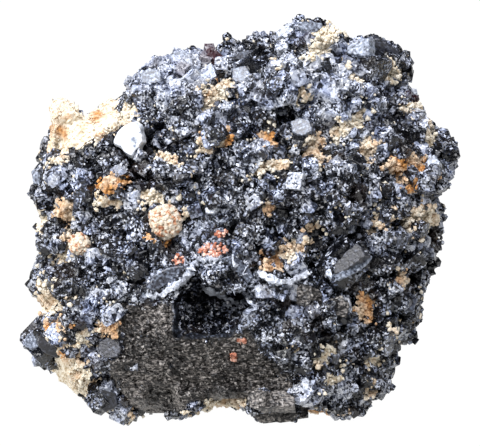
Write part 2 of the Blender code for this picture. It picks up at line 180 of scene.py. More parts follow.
# Crystals that stand out in the photograph: pixel across and down, size in millimetres, how bright from 0
# to 1, which turns them towards the key light and is also their tone, partly painted reflection.
MARKED_CRYSTALS = [
    (39, 178, 2.8, 0.6), (80, 163, 1.5, 0.6), (141, 159, 1.9, 0.7), (178, 57, 3.2, 0.85),
    (150, 76, 3.0, 0.75), (163, 70, 2.4, 0.8), (192, 62, 2.2, 0.7), (137, 90, 2.6, 0.55),
    (168, 88, 2.2, 0.95), (222, 67, 2.4, 0.7), (240, 76, 3.2, 0.65), (252, 82, 2.0, 0.6),
    (288, 34, 3.0, 0.85), (301, 29, 3.2, 0.75), (316, 25, 2.0, 0.4), (302, 126, 3.2, 0.4),
    (364, 133, 1.8, 0.9), (358, 103, 1.5, 0.8), (412, 91, 1.6, 1.0), (242, 121, 2.2, 0.65),
    (331, 168, 2.0, 0.3), (299, 177, 1.4, 0.6), (434, 165, 2.2, 0.9), (442, 136, 3.0, 0.2),
    (357, 46, 2.6, 0.6), (305, 387, 1.6, 0.6), (132, 366, 2.2, 0.35), (318, 302, 3.0, 0.15),
    (305, 290, 2.4, 0.2), (404, 300, 3.0, 0.05), (42, 245, 2.2, 0.6), (60, 276, 2.4, 0.1),
    (30, 340, 2.6, 0.5), (104, 160, 2.6, 0.15), (88, 152, 2.4, 0.1), (152, 157, 1.6, 0.05),
    (211, 157, 1.8, 0.05), (96, 400, 3.0, 0.1), (110, 350, 2.8, 0.12), (262, 216, 2.2, 0.25),
]

# Where crystals are paler or darker than elsewhere, partly in their own tone and partly as painted light and
# shade, lighter towards the top and darker low down: pixel across and down, half length, half width, change of
# tone.
TONE_AND_PAINTED_LIGHT_ZONES = [
    (200, 60, 70, 14, 0.15), (160, 76, 44, 28, 0.65), (205, 66, 34, 18, 0.45), (244, 78, 26, 16, 0.30),
    (298, 30, 26, 14, 0.55), (362, 48, 12, 10, 0.30), (150, 122, 28, 20, 0.20), (210, 104, 60, 26, 0.15),
    (340, 90, 64, 44, 0.45), (265, 175, 80, 30, 0.10), (190, 224, 46, 18, 0.20), (250, 130, 60, 26, 0.08),
    (385, 288, 52, 46, -0.25), (100, 160, 22, 13, -0.30), (52, 202, 15, 14, -0.30),
    (100, 400, 20, 18, -0.20), (250, 410, 60, 14, -0.20), (300, 300, 34, 24, -0.15),
]

# Dark maroon crystals: pixel across and down, half length and half width in pixels.
MAROON_SPOTS = [(212, 62, 9, 8), (178, 76, 10, 6), (411, 104, 8, 8), (408, 112, 6, 6), (302, 40, 4, 4)]

# Deep gaps between the clusters, sunk and also darkened as painted shade: pixel across and down, half length,
# half width, turn in degrees, depth in millimetres.
GAPS = [
    (196, 217, 24, 3, 24, 1.6), (250, 234, 9, 5, 60, 1.2), (150, 180, 14, 4, -20, 1.2),
    (120, 215, 12, 5, 20, 1.3), (296, 205, 14, 4, 25, 1.2), (355, 165, 14, 4, 30, 1.2),
    (382, 190, 10, 5, -30, 1.2), (330, 330, 12, 5, 30, 1.2), (226, 125, 23, 4, 2, 1.5),
    (186, 148, 16, 4, -8, 1.3), (211, 158, 6, 5, 0, 1.0), (232, 180, 6, 8, 0, 1.2),
    (54, 200, 8, 10, 0, 1.2), (106, 166, 16, 6, 0, 1.5), (284, 121, 17, 5, 0, 1.4),
    (292, 108, 11, 5, 0, 1.0), (326, 121, 9, 6, 0, 1.4), (410, 133, 4, 10, 0, 1.0),
    (293, 270, 11, 6, 0, 2.0), (340, 236, 16, 4, 10, 1.2), (392, 252, 16, 5, -10, 1.4),
    (352, 300, 18, 7, -35, 1.5), (388, 305, 7, 14, 0, 1.2), (270, 304, 5, 14, 20, 1.3),
    (268, 236, 10, 6, 0, 1.2), (420, 196, 14, 5, -10, 1.1), (140, 250, 12, 4, 30, 1.0),
    (60, 262, 10, 5, 0, 1.1), (86, 292, 12, 5, 20, 1.1), (98, 250, 8, 4, 0, 0.9),
    (310, 262, 8, 5, 20, 1.2), (300, 340, 7, 8, 0, 1.0), (350, 372, 10, 5, -30, 1.1),
    (396, 350, 7, 10, 0, 1.1), (268, 370, 8, 4, -10, 0.8), (228, 394, 16, 3, 5, 0.8),
    (160, 128, 10, 4, 20, 1.0), (262, 64, 6, 4, 0, 0.8), (318, 62, 6, 5, 0, 0.8),
    (370, 176, 7, 4, 0, 0.9),
]

# Thin fins, their crests lightened with a painted highlight: height and half width in millimetres, how bright
# the painted highlight is from 0 to 1, then pixels across and down along each.
FINS = [
    (1.4, 0.54, 0.8, [
        (146, 293), (154, 296), (165, 291), (176, 285), (184, 280), (189, 273), (193, 266), (201, 260),
        (213, 258), (222, 259),
    ]),
    (0.5, 0.34, 0.4, [(146, 286), (156, 273), (174, 266), (191, 263)]),
    (1.4, 0.50, 0.9, [(203, 287), (211, 291), (218, 294), (230, 300), (238, 305)]),
    (1.1, 0.36, 0.4, [(226, 260), (233, 262), (245, 271), (252, 283), (255, 293)]),
    (0.7, 0.44, 0.2, [(254, 301), (253, 312), (247, 322), (241, 333)]),
    (0.7, 0.34, 0.3, [(233, 292), (244, 286), (252, 285)]),
    (0.6, 0.34, 0.3, [(232, 314), (243, 305), (253, 294)]),
    (0.5, 0.50, 0.4, [(212, 212), (226, 208), (238, 207)]),
    (0.4, 0.40, 0.3, [(196, 229), (210, 224), (222, 221)]),
    (1.7, 0.60, 1.0, [(257, 272), (262, 275), (270, 279), (277, 282), (289, 283), (301, 278), (309, 272)]),
    (1.0, 0.40, 0.9, [(262, 271), (268, 276), (277, 280)]),
]

# How far apart the fins' sections are, in millimetres.
FIN_STEP = 0.34

# Hollows of the large crystal, sunk and painted near black as painted shade: pixel across and down, half
# length, half width, turn in degrees, depth in millimetres.
HOLLOWS = [
    (160, 282, 8, 4, 20, 0.9), (234, 230, 9, 7, 0, 1.5), (229, 276, 10, 7, 0, 1.3),
    (199, 270, 4, 6, 0, 0.8),
]

# The broken face's outline, in pixels: it runs on below the large crystal, over the crust.
BROKEN_FACE = [
    (121, 300), (172, 300), (172, 338), (238, 340), (262, 350), (284, 362), (300, 377), (294, 390), (262, 396),
    (240, 397), (198, 400), (186, 409), (150, 413), (130, 404), (118, 390), (110, 372), (108, 352), (121, 346),
]

# How far apart the broken sheet's points are, in pixels.
SHEET_PIXELS = 1.6

# Flat faces that stand out in the photograph: whether dull, turned right and up in degrees, how far out the
# face is in millimetres, how bright from 0 to 1 (its own shade and a painted reflection), and its outline in
# pixels.
FLAT_FACES = [
    (0, 8, -6, 0.5, 0.30, [
        (147, 287), (155, 275), (169, 268), (184, 266), (178, 277), (166, 285), (155, 291),
    ]),
    (0, 16, 2, 0.5, 0.34, [
        (224, 258), (235, 256), (247, 265), (254, 279), (248, 283), (240, 273), (230, 266),
    ]),
    (0, 8, -12, 1.1, 0.10, [
        (369, 40), (377, 38), (386, 43), (394, 48), (400, 52), (398, 60), (394, 64), (383, 62), (369, 56),
    ]),
    (0, -22, 14, 0.9, 0.55, [(358, 40), (369, 38), (369, 56), (356, 55), (345, 52), (349, 45)]),
    (0, -10, 18, 1.0, 0.66, [(276, 32), (284, 26), (296, 29), (303, 32), (302, 39), (289, 46), (278, 40)]),
    (0, 12, 14, 1.0, 0.46, [(297, 24), (303, 21), (312, 21), (322, 23), (323, 28), (315, 33), (304, 32)]),
    (0, -14, 8, 1.2, 0.02, [
        (335, 264), (346, 252), (356, 243), (362, 248), (365, 256), (352, 266), (341, 273), (334, 274),
    ]),
    (0, 20, 6, 1.1, 0.50, [
        (365, 255), (373, 257), (370, 263), (361, 270), (350, 276), (341, 279), (340, 273), (352, 266),
    ]),
    (1, -6, 6, 1.0, 0.35, [
        (294, 290), (301, 284), (311, 287), (314, 297), (308, 307), (299, 306), (293, 300),
    ]),
    (1, 14, -4, 0.9, 0.20, [(312, 288), (322, 292), (322, 305), (314, 312), (309, 306)]),
    (1, -4, -6, 1.3, 0.20, [(252, 411), (260, 408), (294, 408), (297, 414), (293, 422), (261, 423)]),
    (1, -30, 6, 1.2, 0.05, [(247, 394), (256, 389), (266, 393), (264, 406), (258, 409), (250, 407)]),
    (1, 8, 24, 1.1, 0.30, [(266, 393), (282, 390), (294, 396), (295, 407), (265, 407)]),
    (0, 0, 16, 0.9, 0.75, [(302, 379), (308, 377), (311, 384), (309, 391), (303, 391)]),
    (0, -8, 6, 1.0, 0.10, [(99, 341), (107, 337), (118, 340), (122, 349), (117, 357), (104, 358), (98, 350)]),
    (0, -12, 0, 1.0, 0.48, [(25, 338), (30, 333), (37, 336), (38, 346), (32, 351), (25, 347)]),
    (0, 4, -10, 0.9, 0.05, [(38, 336), (50, 339), (60, 346), (58, 358), (46, 354), (38, 347)]),
    (0, -14, 4, 0.9, 0.45, [(31, 172), (38, 167), (45, 170), (47, 181), (42, 190), (34, 186)]),
    (0, 4, 12, 0.9, 0.52, [(172, 52), (184, 50), (192, 56), (190, 64), (178, 67), (170, 61)]),
    (0, -6, 10, 0.9, 0.50, [(140, 74), (150, 68), (160, 71), (161, 81), (150, 85), (141, 82)]),
    (0, 14, 14, 0.9, 0.50, [(186, 68), (198, 66), (204, 73), (199, 82), (188, 80)]),
    (0, 10, 10, 0.9, 0.20, [(226, 58), (246, 50), (262, 50), (264, 56), (250, 62), (230, 66)]),
    (0, -6, 14, 0.9, 0.46, [(232, 68), (246, 66), (251, 75), (243, 83), (233, 80)]),
    (0, -10, 16, 0.9, 0.38, [(290, 122), (298, 117), (310, 121), (312, 131), (302, 136), (292, 132)]),
    (0, 0, 14, 0.8, 0.75, [(411, 88), (417, 88), (418, 94), (413, 96)]),
    (0, -6, 14, 0.9, 0.62, [(426, 160), (434, 155), (440, 161), (438, 170), (430, 172)]),
    (0, 20, 10, 0.9, 0.45, [(438, 160), (448, 162), (449, 172), (440, 176)]),
    (0, 0, 12, 0.8, 0.75, [(325, 272), (330, 268), (333, 275), (331, 280)]),
    (0, -8, 14, 1.0, 0.85, [(88, 385), (96, 381), (101, 386), (96, 392), (89, 391)]),
    (0, 6, -8, 0.9, 0.10, [(95, 393), (106, 388), (116, 394), (118, 406), (106, 412), (96, 406)]),
    (0, 0, 14, 0.8, 0.90, [(205, 208), (214, 205), (220, 209), (214, 214), (206, 213)]),
    (1, 4, 6, 1.0, 0.35, [(330, 300), (342, 296), (350, 304), (346, 316), (334, 316)]),
    (0, 20, 6, 1.0, 0.30, [(398, 296), (410, 292), (418, 300), (414, 312), (402, 310)]),
]
FACE_THICKNESS = 1.9 * MM
FACE_FLARE = 1.18
FACE_BEVEL = 0.10 * MM
CHIP_PIXELS = 2.6
CHIP_DEPTH = 0.7

# The bright cleaved plate's outline in pixels, how far it stands over its block's middle, and how thick it
# is.
PLATE_OUTLINE = [
    (117, 133), (124, 126), (134, 122), (139, 127), (141, 133), (142, 141), (138, 147), (131, 155), (126, 152),
    (121, 147), (113, 142), (115, 137),
]
PLATE_RISE = 1.2 * MM
PLATE_THICKNESS = 2.4 * MM

# Rust spots: pixel across and down, half length and half width in pixels.
RUST_SPOTS = [
    (214, 250, 13, 6), (180, 260, 5, 5), (221, 234, 4, 4), (234, 352, 2, 4), (241, 338, 4, 2),
    (300, 415, 8, 3),
]


def linear(code):
    """A colour's hex code, in sRGB, as linear red, green, blue and full alpha."""
    shares = [int(code[i : i + 2], 16) / 255 for i in (1, 3, 5)]
    return tuple(s / 12.92 if s <= 0.04045 else ((s + 0.055) / 1.055) ** 2.4 for s in shares) + (1.0,)


class SpecimenLooks(bpy.types.PropertyGroup):
    """Sizes and colours that a user would change."""

    small_crystals: IntProperty(
        name="Small crystals", description="Places tried for the crust's small crystals", default=60000, min=0
    )
    smallest: FloatProperty(
        name="Smallest crystal", description="Edge of the smallest crystal", default=0.42 * MM, unit="LENGTH"
    )
    largest: FloatProperty(
        name="Largest crystal", description="Edge of the largest scattered crystal",
        default=2.6 * MM, unit="LENGTH",
    )
    dark: StringProperty(
        name="Dark faces", description="Colour of the darkest crystal faces", default="#090a0e"
    )
    # The bright faces' colour is painted reflection: the steel-blue flash of the lights, put in the crystals'
    # colour.
    bright: StringProperty(
        name="Bright faces", description="Colour of the steel-blue faces", default="#cdd1d9"
    )
    cream: StringProperty(name="Carbonate", description="Colour of the clean carbonate", default="#d4cdbd")
    ochre: StringProperty(name="Ochre stain", description="Colour of the iron stain", default="#c28d50")


def looks():
    return bpy.context.scene.specimen_looks


# Places and directions

def on_face(u, v, w):
    """A place in the show face's own frame, carried to the ground's."""
    return FACE_CENTRE + FACE_TURN @ Vector((u, v, w))


def camera_place():
    return on_face(0.0, 0.0, CAMERA_DISTANCE)


def photo_place(across, down):
    """A pixel of the photograph as millimetres across and up the show face."""
    return (across - PHOTO_MIDDLE[0]) * PIXEL / MM, (PHOTO_MIDDLE[1] - down) * PIXEL / MM


def line_of_sight(u, v):
    """The camera's place, and its direction to a place in millimetres across and up the show face."""
    eye = camera_place()
    return eye, (on_face(u * MM, v * MM, 0.0) - eye).normalized()


def face_places(points):
    """Points of the ground's frame, as rows, in the show face's own frame."""
    return (np.asarray(points) - np.array(FACE_CENTRE)) @ np.array(FACE_TURN)


def solid_tree(names):
    """A tree of the named CAD solids, for casting rays at them."""
    corners, faces = [], []
    for name in names:
        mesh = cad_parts[name].data
        start = len(corners)
        corners += [vert.co.copy() for vert in mesh.vertices]
        faces += [[start + i for i in poly.vertices] for poly in mesh.polygons]
    return BVHTree.FromPolygons(corners, faces)


SOLIDS = solid_tree(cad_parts)
DARK_SOLIDS = solid_tree(DARK_NODES)


def seen_at(across, down):
    """The surface's point and normal behind a pixel of the photograph, or None where the pixel misses the
    solids."""
    point, normal, _, _ = SOLIDS.ray_cast(*line_of_sight(*photo_place(across, down)))
    return None if point is None else (point, normal)


def is_shown(point, normal):
    """Whether a point of the surface is on the specimen's outside, and not in a joint between two solids."""
    outward = (point - FACE_CENTRE).normalized() * 0.6 + normal * 0.4
    blocked = SOLIDS.ray_cast(point + normal * 0.1 * MM, outward.normalized(), 60 * MM)
    return blocked[0] is None and point.z > 0.8 * MM


def mesh_triangles(mesh):
    """A mesh's triangles, as rows of three corners."""
    corners = np.array([vert.co[:] for vert in mesh.vertices])
    mesh.calc_loop_triangles()
    return corners[np.array([tri.vertices[:] for tri in mesh.loop_triangles])]


def surface_samples(meshes, count, dice):
    """Points and normals spread evenly over the outside of the meshes."""
    triangles = np.concatenate([mesh_triangles(mesh) for mesh in meshes])
    cross = np.cross(triangles[:, 1] - triangles[:, 0], triangles[:, 2] - triangles[:, 0])
    areas = np.linalg.norm(cross, axis=1)
    picks = dice.choice(len(triangles), count, p=areas / areas.sum())
    along = dice.random((count, 2))
    along = np.where(along.sum(1, keepdims=True) > 1, 1 - along, along)
    corners = triangles[picks]
    first, second = corners[:, 1] - corners[:, 0], corners[:, 2] - corners[:, 0]
    return corners[:, 0] + along[:, :1] * first + along[:, 1:] * second, cross[picks] / areas[picks, None]


def outside_samples(names, count, dice):
    """Points and normals on the outside of the named solids, none in a joint between two of them."""
    points, normals = surface_samples([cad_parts[name].data for name in names], count, dice)
    shown = np.array([is_shown(Vector(p), Vector(n)) for p, n in zip(points, normals)])
    return points[shown], normals[shown]


def spaced_out(points, sizes, crowding):
    """Indexes of the points kept, in order, so that no two crystals sit closer than crowding times their
    sizes."""
    cell = float(sizes.max())
    grid, kept = {}, []
    for i, (point, size) in enumerate(zip(points, sizes)):
        home = tuple(int(c // cell) for c in point)
        near = (
            j
            for dx in (-1, 0, 1)
            for dy in (-1, 0, 1)
            for dz in (-1, 0, 1)
            for j in grid.get((home[0] + dx, home[1] + dy, home[2] + dz), ())
        )
        gaps = ((point - points[j], crowding * (size + sizes[j])) for j in near)
        if all(np.dot(gap, gap) > reach**2 for gap, reach in gaps):
            grid.setdefault(home, []).append(i)
            kept.append(i)
    return np.array(kept, dtype=int)


def turns_facing(normals, lean, dice):
    """Rotation matrices that stand each copy's top along its normal, leaning up to the given angle, spun
    at random."""
    count = len(normals)
    jitter = dice.normal(size=(count, 3)) * math.tan(lean) * 0.6
    tops = normals + jitter
    tops /= np.linalg.norm(tops, axis=1, keepdims=True)
    sides = np.cross(tops, dice.normal(size=(count, 3)))
    sides /= np.linalg.norm(sides, axis=1, keepdims=True)
    others = np.cross(tops, sides)
    return np.stack([sides, others, tops], axis=2)


# Shapes

def deselect():
    bpy.ops.object.select_all(action="DESELECT")


def edit_everything():
    bpy.ops.object.mode_set(mode="EDIT")
    bpy.ops.mesh.select_all(action="SELECT")


def crystal_form(sides, corner, cuts):
    """One crystal form about a millimetre across: a block, its corners cut, then broken along given
    planes."""
    deselect()
    bpy.ops.mesh.primitive_cube_add(size=1.0)
    edit_everything()
    bpy.ops.transform.resize(value=sides)
    if corner:
        bpy.ops.mesh.bevel(offset=corner, affect="VERTICES")
    for point, outward in cuts:
        bpy.ops.mesh.select_all(action="SELECT")
        bpy.ops.mesh.bisect(plane_co=point, plane_no=outward, use_fill=True, clear_outer=True)
    bpy.ops.object.mode_set(mode="OBJECT")
    return taken_form(bpy.context.object)


def taken_form(made):
    """A made object's corners and faces, the object itself being removed."""
    corners = np.array([vert.co[:] for vert in made.data.vertices])
    faces = [list(poly.vertices) for poly in made.data.polygons]
    mesh = made.data
    bpy.data.objects.remove(made)
    bpy.data.meshes.remove(mesh)
    return corners, faces


def grain_form(bumps, fineness, dice):
    """One rounded, knobbly grain about a millimetre across."""
    deselect()
    bpy.ops.mesh.primitive_ico_sphere_add(subdivisions=fineness, radius=0.5)
    corners, faces = taken_form(bpy.context.object)
    corners *= 1.0 + dice.uniform(-bumps, bumps, (len(corners), 1))
    return corners, faces


def crystal_forms():
    """The crust's crystal forms: blocks, blocks with cut corners, plates, prisms and broken ones."""
    top_corner = ((0.0, 0.0, 0.0), (0.62, 0.45, 0.64))
    side_break = ((0.22, 0.05, 0.0), (0.85, -0.3, 0.42))
    low_break = ((-0.25, 0.1, 0.0), (-0.8, 0.5, 0.3))
    return [
        crystal_form((1.0, 1.0, 1.0), 0.0, []),
        crystal_form((1.0, 0.9, 0.95), 0.17, []),
        crystal_form((1.0, 0.95, 0.85), 0.27, []),
        crystal_form((1.25, 0.8, 0.6), 0.0, [((0.3, 0.0, 0.0), (0.8, 0.2, 0.55))]),
        crystal_form((0.8, 0.75, 1.2), 0.12, []),
        crystal_form((1.1, 1.0, 0.9), 0.0, [((0.2, 0.2, 0.2), top_corner[1]), low_break]),
        crystal_form((1.0, 1.05, 1.0), 0.0, [side_break, ((0.0, -0.2, 0.1), (0.1, -0.8, 0.58))]),
        crystal_form((0.95, 0.95, 0.95), 0.33, []),
    ]


def kinds_and_turns(forms, normals, lean, dice):
    """Each copy's form, and its turn: it stands along its normal, leaning up to the given degrees."""
    kinds = dice.integers(0, len(forms), len(normals))
    return kinds, turns_facing(normals, math.radians(lean), dice)


def joined_copies(name, forms, kinds, places, turns, sizes, values):
    """One mesh object of many copies. Each value name gives every copy's own number, kept on its vertices."""
    corner_rows, loop_rows, total_rows = [], [], []
    value_rows = {key: [] for key in values}
    start = 0
    for kind, (corners, faces) in enumerate(forms):
        mine = np.flatnonzero(kinds == kind)
        if not len(mine):
            continue
        sized = corners[None, :, :] * sizes[mine, None, None]
        placed = np.einsum("nij,nkj->nki", turns[mine], sized) + places[mine, None, :]
        corner_rows.append(placed.reshape(-1, 3))
        flat = np.concatenate([np.array(face) for face in faces])
        lengths = np.array([len(face) for face in faces])
        offsets = start + np.arange(len(mine)) * len(corners)
        loop_rows.append((flat[None, :] + offsets[:, None]).ravel())
        total_rows.append(np.tile(lengths, len(mine)))
        for key, numbers in values.items():
            value_rows[key].append(np.repeat(numbers[mine], len(corners)))
        start += len(mine) * len(corners)
    corners = np.concatenate(corner_rows)
    loops = np.concatenate(loop_rows)
    totals = np.concatenate(total_rows)
    mesh = bpy.data.meshes.new(name)
    mesh.vertices.add(len(corners))
    mesh.vertices.foreach_set("co", corners.astype(np.float32).ravel())
    mesh.loops.add(len(loops))
    mesh.loops.foreach_set("vertex_index", loops.astype(np.int32))
    mesh.polygons.add(len(totals))
    starts = np.concatenate([[0], np.cumsum(totals)[:-1]])
    mesh.polygons.foreach_set("loop_start", starts.astype(np.int32))
    mesh.update(calc_edges=True)
    mesh.validate()
    mesh.shade_flat()
    for key in values:
        layer = mesh.attributes.new(key, "FLOAT", "POINT")
        layer.data.foreach_set("value", np.concatenate(value_rows[key]).astype(np.float32))
    made = bpy.data.objects.new(name, mesh)
    bpy.context.scene.collection.objects.link(made)
    return made


def detailed_copy(solid, name):
    """A copy of a CAD solid as a new object, merged and rebuilt with faces of one size, ready to be
    shaped."""
    deselect()
    made = bpy.data.objects.new(name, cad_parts[solid].data.copy())
    bpy.context.scene.collection.objects.link(made)
    bpy.context.view_layer.objects.active = made
    made.select_set(True)
    edit_everything()
    bpy.ops.mesh.remove_doubles(threshold=0.001 * MM)
    bpy.ops.object.mode_set(mode="OBJECT")
    even = made.modifiers.new("even_faces", "REMESH")
    even.mode = "VOXEL"
    even.voxel_size = ROCK_STEP[solid]
    bpy.ops.object.modifier_apply(modifier=even.name)
    return made


def vertex_rows(mesh):
    """A mesh's vertex places and normals, as rows."""
    places = np.empty(len(mesh.vertices) * 3, dtype=np.float32)
    normals = np.empty(len(mesh.vertices) * 3, dtype=np.float32)
    mesh.vertices.foreach_get("co", places)
    mesh.vertices.foreach_get("normal", normals)
    return places.reshape(-1, 3).astype(float), normals.reshape(-1, 3).astype(float)


def reshape(mesh, places):
    mesh.vertices.foreach_set("co", np.asarray(places, dtype=np.float32).ravel())
    mesh.update()


def keep_number(mesh, key, numbers):
    """Keeps one number for each vertex, for the material to read."""
    layer = mesh.attributes.new(key, "FLOAT", "POINT")
    layer.data.foreach_set("value", np.asarray(numbers, dtype=np.float32))


def inside_box(points, sizes):
    """Whether a copy of each size, centred at its point, stays above the ground and about inside the CAD
    box."""
    low, high = (np.array(corner) for corner in CAD_BOX)
    margin = 0.5 * np.broadcast_to(sizes, len(points))[:, None]
    inside = np.all((points > low + margin) & (points < high - margin), axis=1)
    return inside & (points[:, 2] > 1.7 * margin[:, 0])


# The photograph's regions on the specimen

BROKEN_OUTLINE = [photo_place(*pixel) for pixel in BROKEN_FACE]


def patch_rows():
    """Each cream patch's place in the show face's frame, its half sizes, turn and stain."""
    rows = []
    for across, down, half_length, half_width, turn, stain in CREAM_PATCHES:
        seen = seen_at(across, down)
        if seen is None:
            continue
        u, v, w = face_places([seen[0]])[0]
        half_sizes = (half_length * PIXEL * PATCH_SPREAD[0], half_width * PIXEL * PATCH_SPREAD[1])
        rows.append((u, v, w, *half_sizes, math.radians(turn), stain))
    return np.array(rows)


PATCHES = patch_rows()


def patch_share(points):
    """How deep each point is inside a cream patch, from 0 at its rim to 1, and the stain there."""
    places = face_places(points)
    share = np.zeros(len(points))
    stain = np.zeros(len(points))
    ragged = 0.5 * rough(points, 1.5 * MM, 41.0) + 0.45 * rough(points, 0.8 * MM, 42.0)
    for u, v, w, half_length, half_width, turn, iron in PATCHES:
        du, dv = places[:, 0] - u, places[:, 1] - v
        along = (du * math.cos(turn) + dv * math.sin(turn)) / half_length
        aside = (dv * math.cos(turn) - du * math.sin(turn)) / half_width
        here = 1.0 - np.sqrt(along**2 + aside**2) - ragged
        here = np.where(np.abs(places[:, 2] - w) < PATCH_DEPTH, here, 0.0)
        better = here > share
        stain = np.where(better, iron, stain)
        share = np.where(better, here, share)
    return share, np.maximum(stain, spot_share(places, STAIN_SPOTS))


def line_distance(places, ends):
    """How far each place, in millimetres across and up the face, is from a line through the given ends."""
    nearest = np.full(len(places), 1e9)
    for (u0, v0), (u1, v1) in zip(ends, ends[1:]):
        du, dv = u1 - u0, v1 - v0
        share = np.clip(((places[:, 0] - u0) * du + (places[:, 1] - v0) * dv) / (du * du + dv * dv), 0.0, 1.0)
        nearest = np.minimum(nearest, np.hypot(places[:, 0] - u0 - share * du, places[:, 1] - v0 - share * dv))
    return nearest


def depth_inside(places, corners):
    """How far inside an outline each place is, in millimetres; outside it the value is below 0."""
    across, up = places[:, 0], places[:, 1]
    ends = corners + corners[:1]
    crossings = np.zeros(len(places), dtype=int)
    for (u0, v0), (u1, v1) in zip(ends, ends[1:]):
        spans = (v0 > up) != (v1 > up)
        edge = u0 + (up - v0) / ((v1 - v0) or 1e-9) * (u1 - u0)
        crossings += (spans & (across < edge)).astype(int)
    nearest = line_distance(places, ends)
    return np.where(crossings % 2 == 1, nearest, -nearest)


def oval_share(places, rows):
    """For each row, an oval of pixels with a turn and a value: the share of the value felt at each place,
    summed."""
    total = np.zeros(len(places))
    for across, down, half_length, half_width, turn, value in rows:
        u, v = photo_place(across, down)
        du, dv = places[:, 0] - u, places[:, 1] - v
        lean = math.radians(turn)
        along = (du * math.cos(lean) + dv * math.sin(lean)) / (half_length * PIXEL / MM)
        aside = (dv * math.cos(lean) - du * math.sin(lean)) / (half_width * PIXEL / MM)
        total += value * (1.0 - step(np.hypot(along, aside), 0.5, 1.35))
    return total


def fin_share(places):
    """How near each place is to the middle of a fin, from 0 to 1."""
    share = np.zeros(len(places))
    for _, half_width, _, pixels in FINS:
        ends = [photo_place(*pixel) for pixel in pixels]
        share = np.maximum(share, np.clip(1.3 - line_distance(places, ends) / half_width, 0.0, 1.0))
    return share


def under_flat_face(points):
    """Whether each point of the surface lies behind one of the flat faces or the cleaved plate."""
    return (depth_outside(points) < -0.1) & (face_places(points)[:, 2] > 0.0)


def depth_outside(points):
    """How far from the nearest flat face's outline each point is, as the camera sees it, in millimetres."""
    places = photo_places(points)
    deepest = np.full(len(points), -1e9)
    for outline in [row[5] for row in FLAT_FACES] + [PLATE_OUTLINE]:
        deepest = np.maximum(deepest, depth_inside(places, [photo_place(*pixel) for pixel in outline]))
    return -deepest


def photo_places(points):
    """Millimetres across and up the show face where the camera sees each point."""
    places = face_places(points)
    return places[:, :2] * (CAMERA_DISTANCE / (CAMERA_DISTANCE - places[:, 2]))[:, None] / MM


def ledges(points, places):
    """How deep the ledges of a broken face lie at each point, in millimetres."""
    lean = places[:, 1] + 0.22 * places[:, 0] + 1.1 * rough(points, 5.0 * MM, 3.0)
    coarse = (lean / 1.6) % 1.0
    fine = (lean / 0.6 + 0.8 * rough(points, 2.2 * MM, 9.0)) % 1.0
    uneven = 0.3 * rough(points, 4.2 * MM, 5.0) + 0.1 * rough(points, 0.7 * MM, 1.0)
    uneven += 0.05 * rough(points, 0.4 * MM, 1.5)
    return uneven - 0.32 * coarse - 0.14 * fine


def tone_and_painted_light(points):
    """How much paler or darker crystals are at each point: their own tone at random, and by zone partly their
    own tone and partly painted light and shade, with painted shade in the gaps.
    """
    places = face_places(points) / MM
    front = step(places[:, 2], -6.0, 2.0)
    zones = oval_share(places, [(*zone[:4], 0, zone[4]) for zone in TONE_AND_PAINTED_LIGHT_ZONES])
    # Painted shade: crystals are darker in the gaps between the clusters.
    zones -= 0.35 * oval_share(places, GAPS)
    return front * zones + 0.42 * rough(points, 3.6 * MM, 51.0) + 0.2 * rough(points, 1.6 * MM, 52.0)


def crust_shape(points):
    """The crust's lift at each point, in metres, and how broken, how bright with the fins' painted highlight
    and how pale it is there, from 0 to 1."""
    places = face_places(points) / MM
    front = step(places[:, 2], -4.0, 2.0)
    broken = front * step(depth_inside(places, BROKEN_OUTLINE), -0.5, 0.7)
    bright = fin_share(places)
    gaps = front * oval_share(places, GAPS)
    clusters = 0.5 * rough(points, 3.4 * MM, 21.0) + 0.35 * rough(points, 1.8 * MM, 22.0)
    lift = faceted(points, 1.5 * MM, 0.8, 0.25 * MM, 3) / MM
    lift += faceted(points, 0.8 * MM, 0.5, 0.1 * MM, 4) / MM
    lift = (lift + clusters) * (1.0 - broken) + ledges(points, places) * broken
    lift -= 1.5 * gaps + 0.3
    lift = np.where(side_on(points), np.minimum(lift, -0.25), lift)
    lift *= step(points[:, 2], 0.2 * MM, 1.4 * MM)
    hollow = step(-lift, 0.25, 0.9) * step(rough(points, 4.0 * MM, 12.0), 0.0, 0.3)
    hollow *= 1.0 - np.clip(gaps, 0.0, 1.0)
    return lift * MM, broken, front * bright, hollow


def side_on(points):
    """Whether each point is where the camera sees the specimen's outline, so nothing may stand out there."""
    eye = camera_place()
    flags = []
    for point in points:
        aim = Vector(point)
        outward = (aim - FACE_CENTRE).normalized() * 1.1 * MM
        flags.append(SOLIDS.ray_cast(eye, (aim + outward - eye).normalized())[0] is None)
    return np.array(flags)


def rough(points, size, seed=0.0):
    """Smooth noise between about -1 and 1 at each point, with lumps of the given size in metres."""
    shift = Vector((seed, -seed, seed * 0.5))
    return np.array([noise.noise(Vector(p) / size + shift) for p in points])


def faceted(points, size, tilt, offset, seed):
    """Lifts, in metres, that break a surface into flat facets: each cell of the given size leans its own
    way."""
    dice = np.random.default_rng(seed)
    low, high = points.min(0) - size, points.max(0) + size
    shape = np.ceil((high - low) / size).astype(int)
    homes = np.floor((points - low) / size).astype(int)
    codes = np.unique(homes @ np.array([1, shape[0], shape[0] * shape[1]]))
    cells = np.stack([codes % shape[0], codes // shape[0] % shape[1], codes // (shape[0] * shape[1])], axis=1)
    middles = low + (cells + dice.random(cells.shape)) * size
    tree = KDTree(len(middles))
    for i, middle in enumerate(middles):
        tree.insert(middle, i)
    tree.balance()
    nearest = np.array([tree.find(point)[1] for point in points])
    leans = dice.normal(size=middles.shape)
    leans /= np.linalg.norm(leans, axis=1, keepdims=True)
    lifts = dice.uniform(-1.0, 1.0, len(middles)) * offset
    return np.einsum("ij,ij->i", points - middles[nearest], leans[nearest]) * tilt + lifts[nearest]


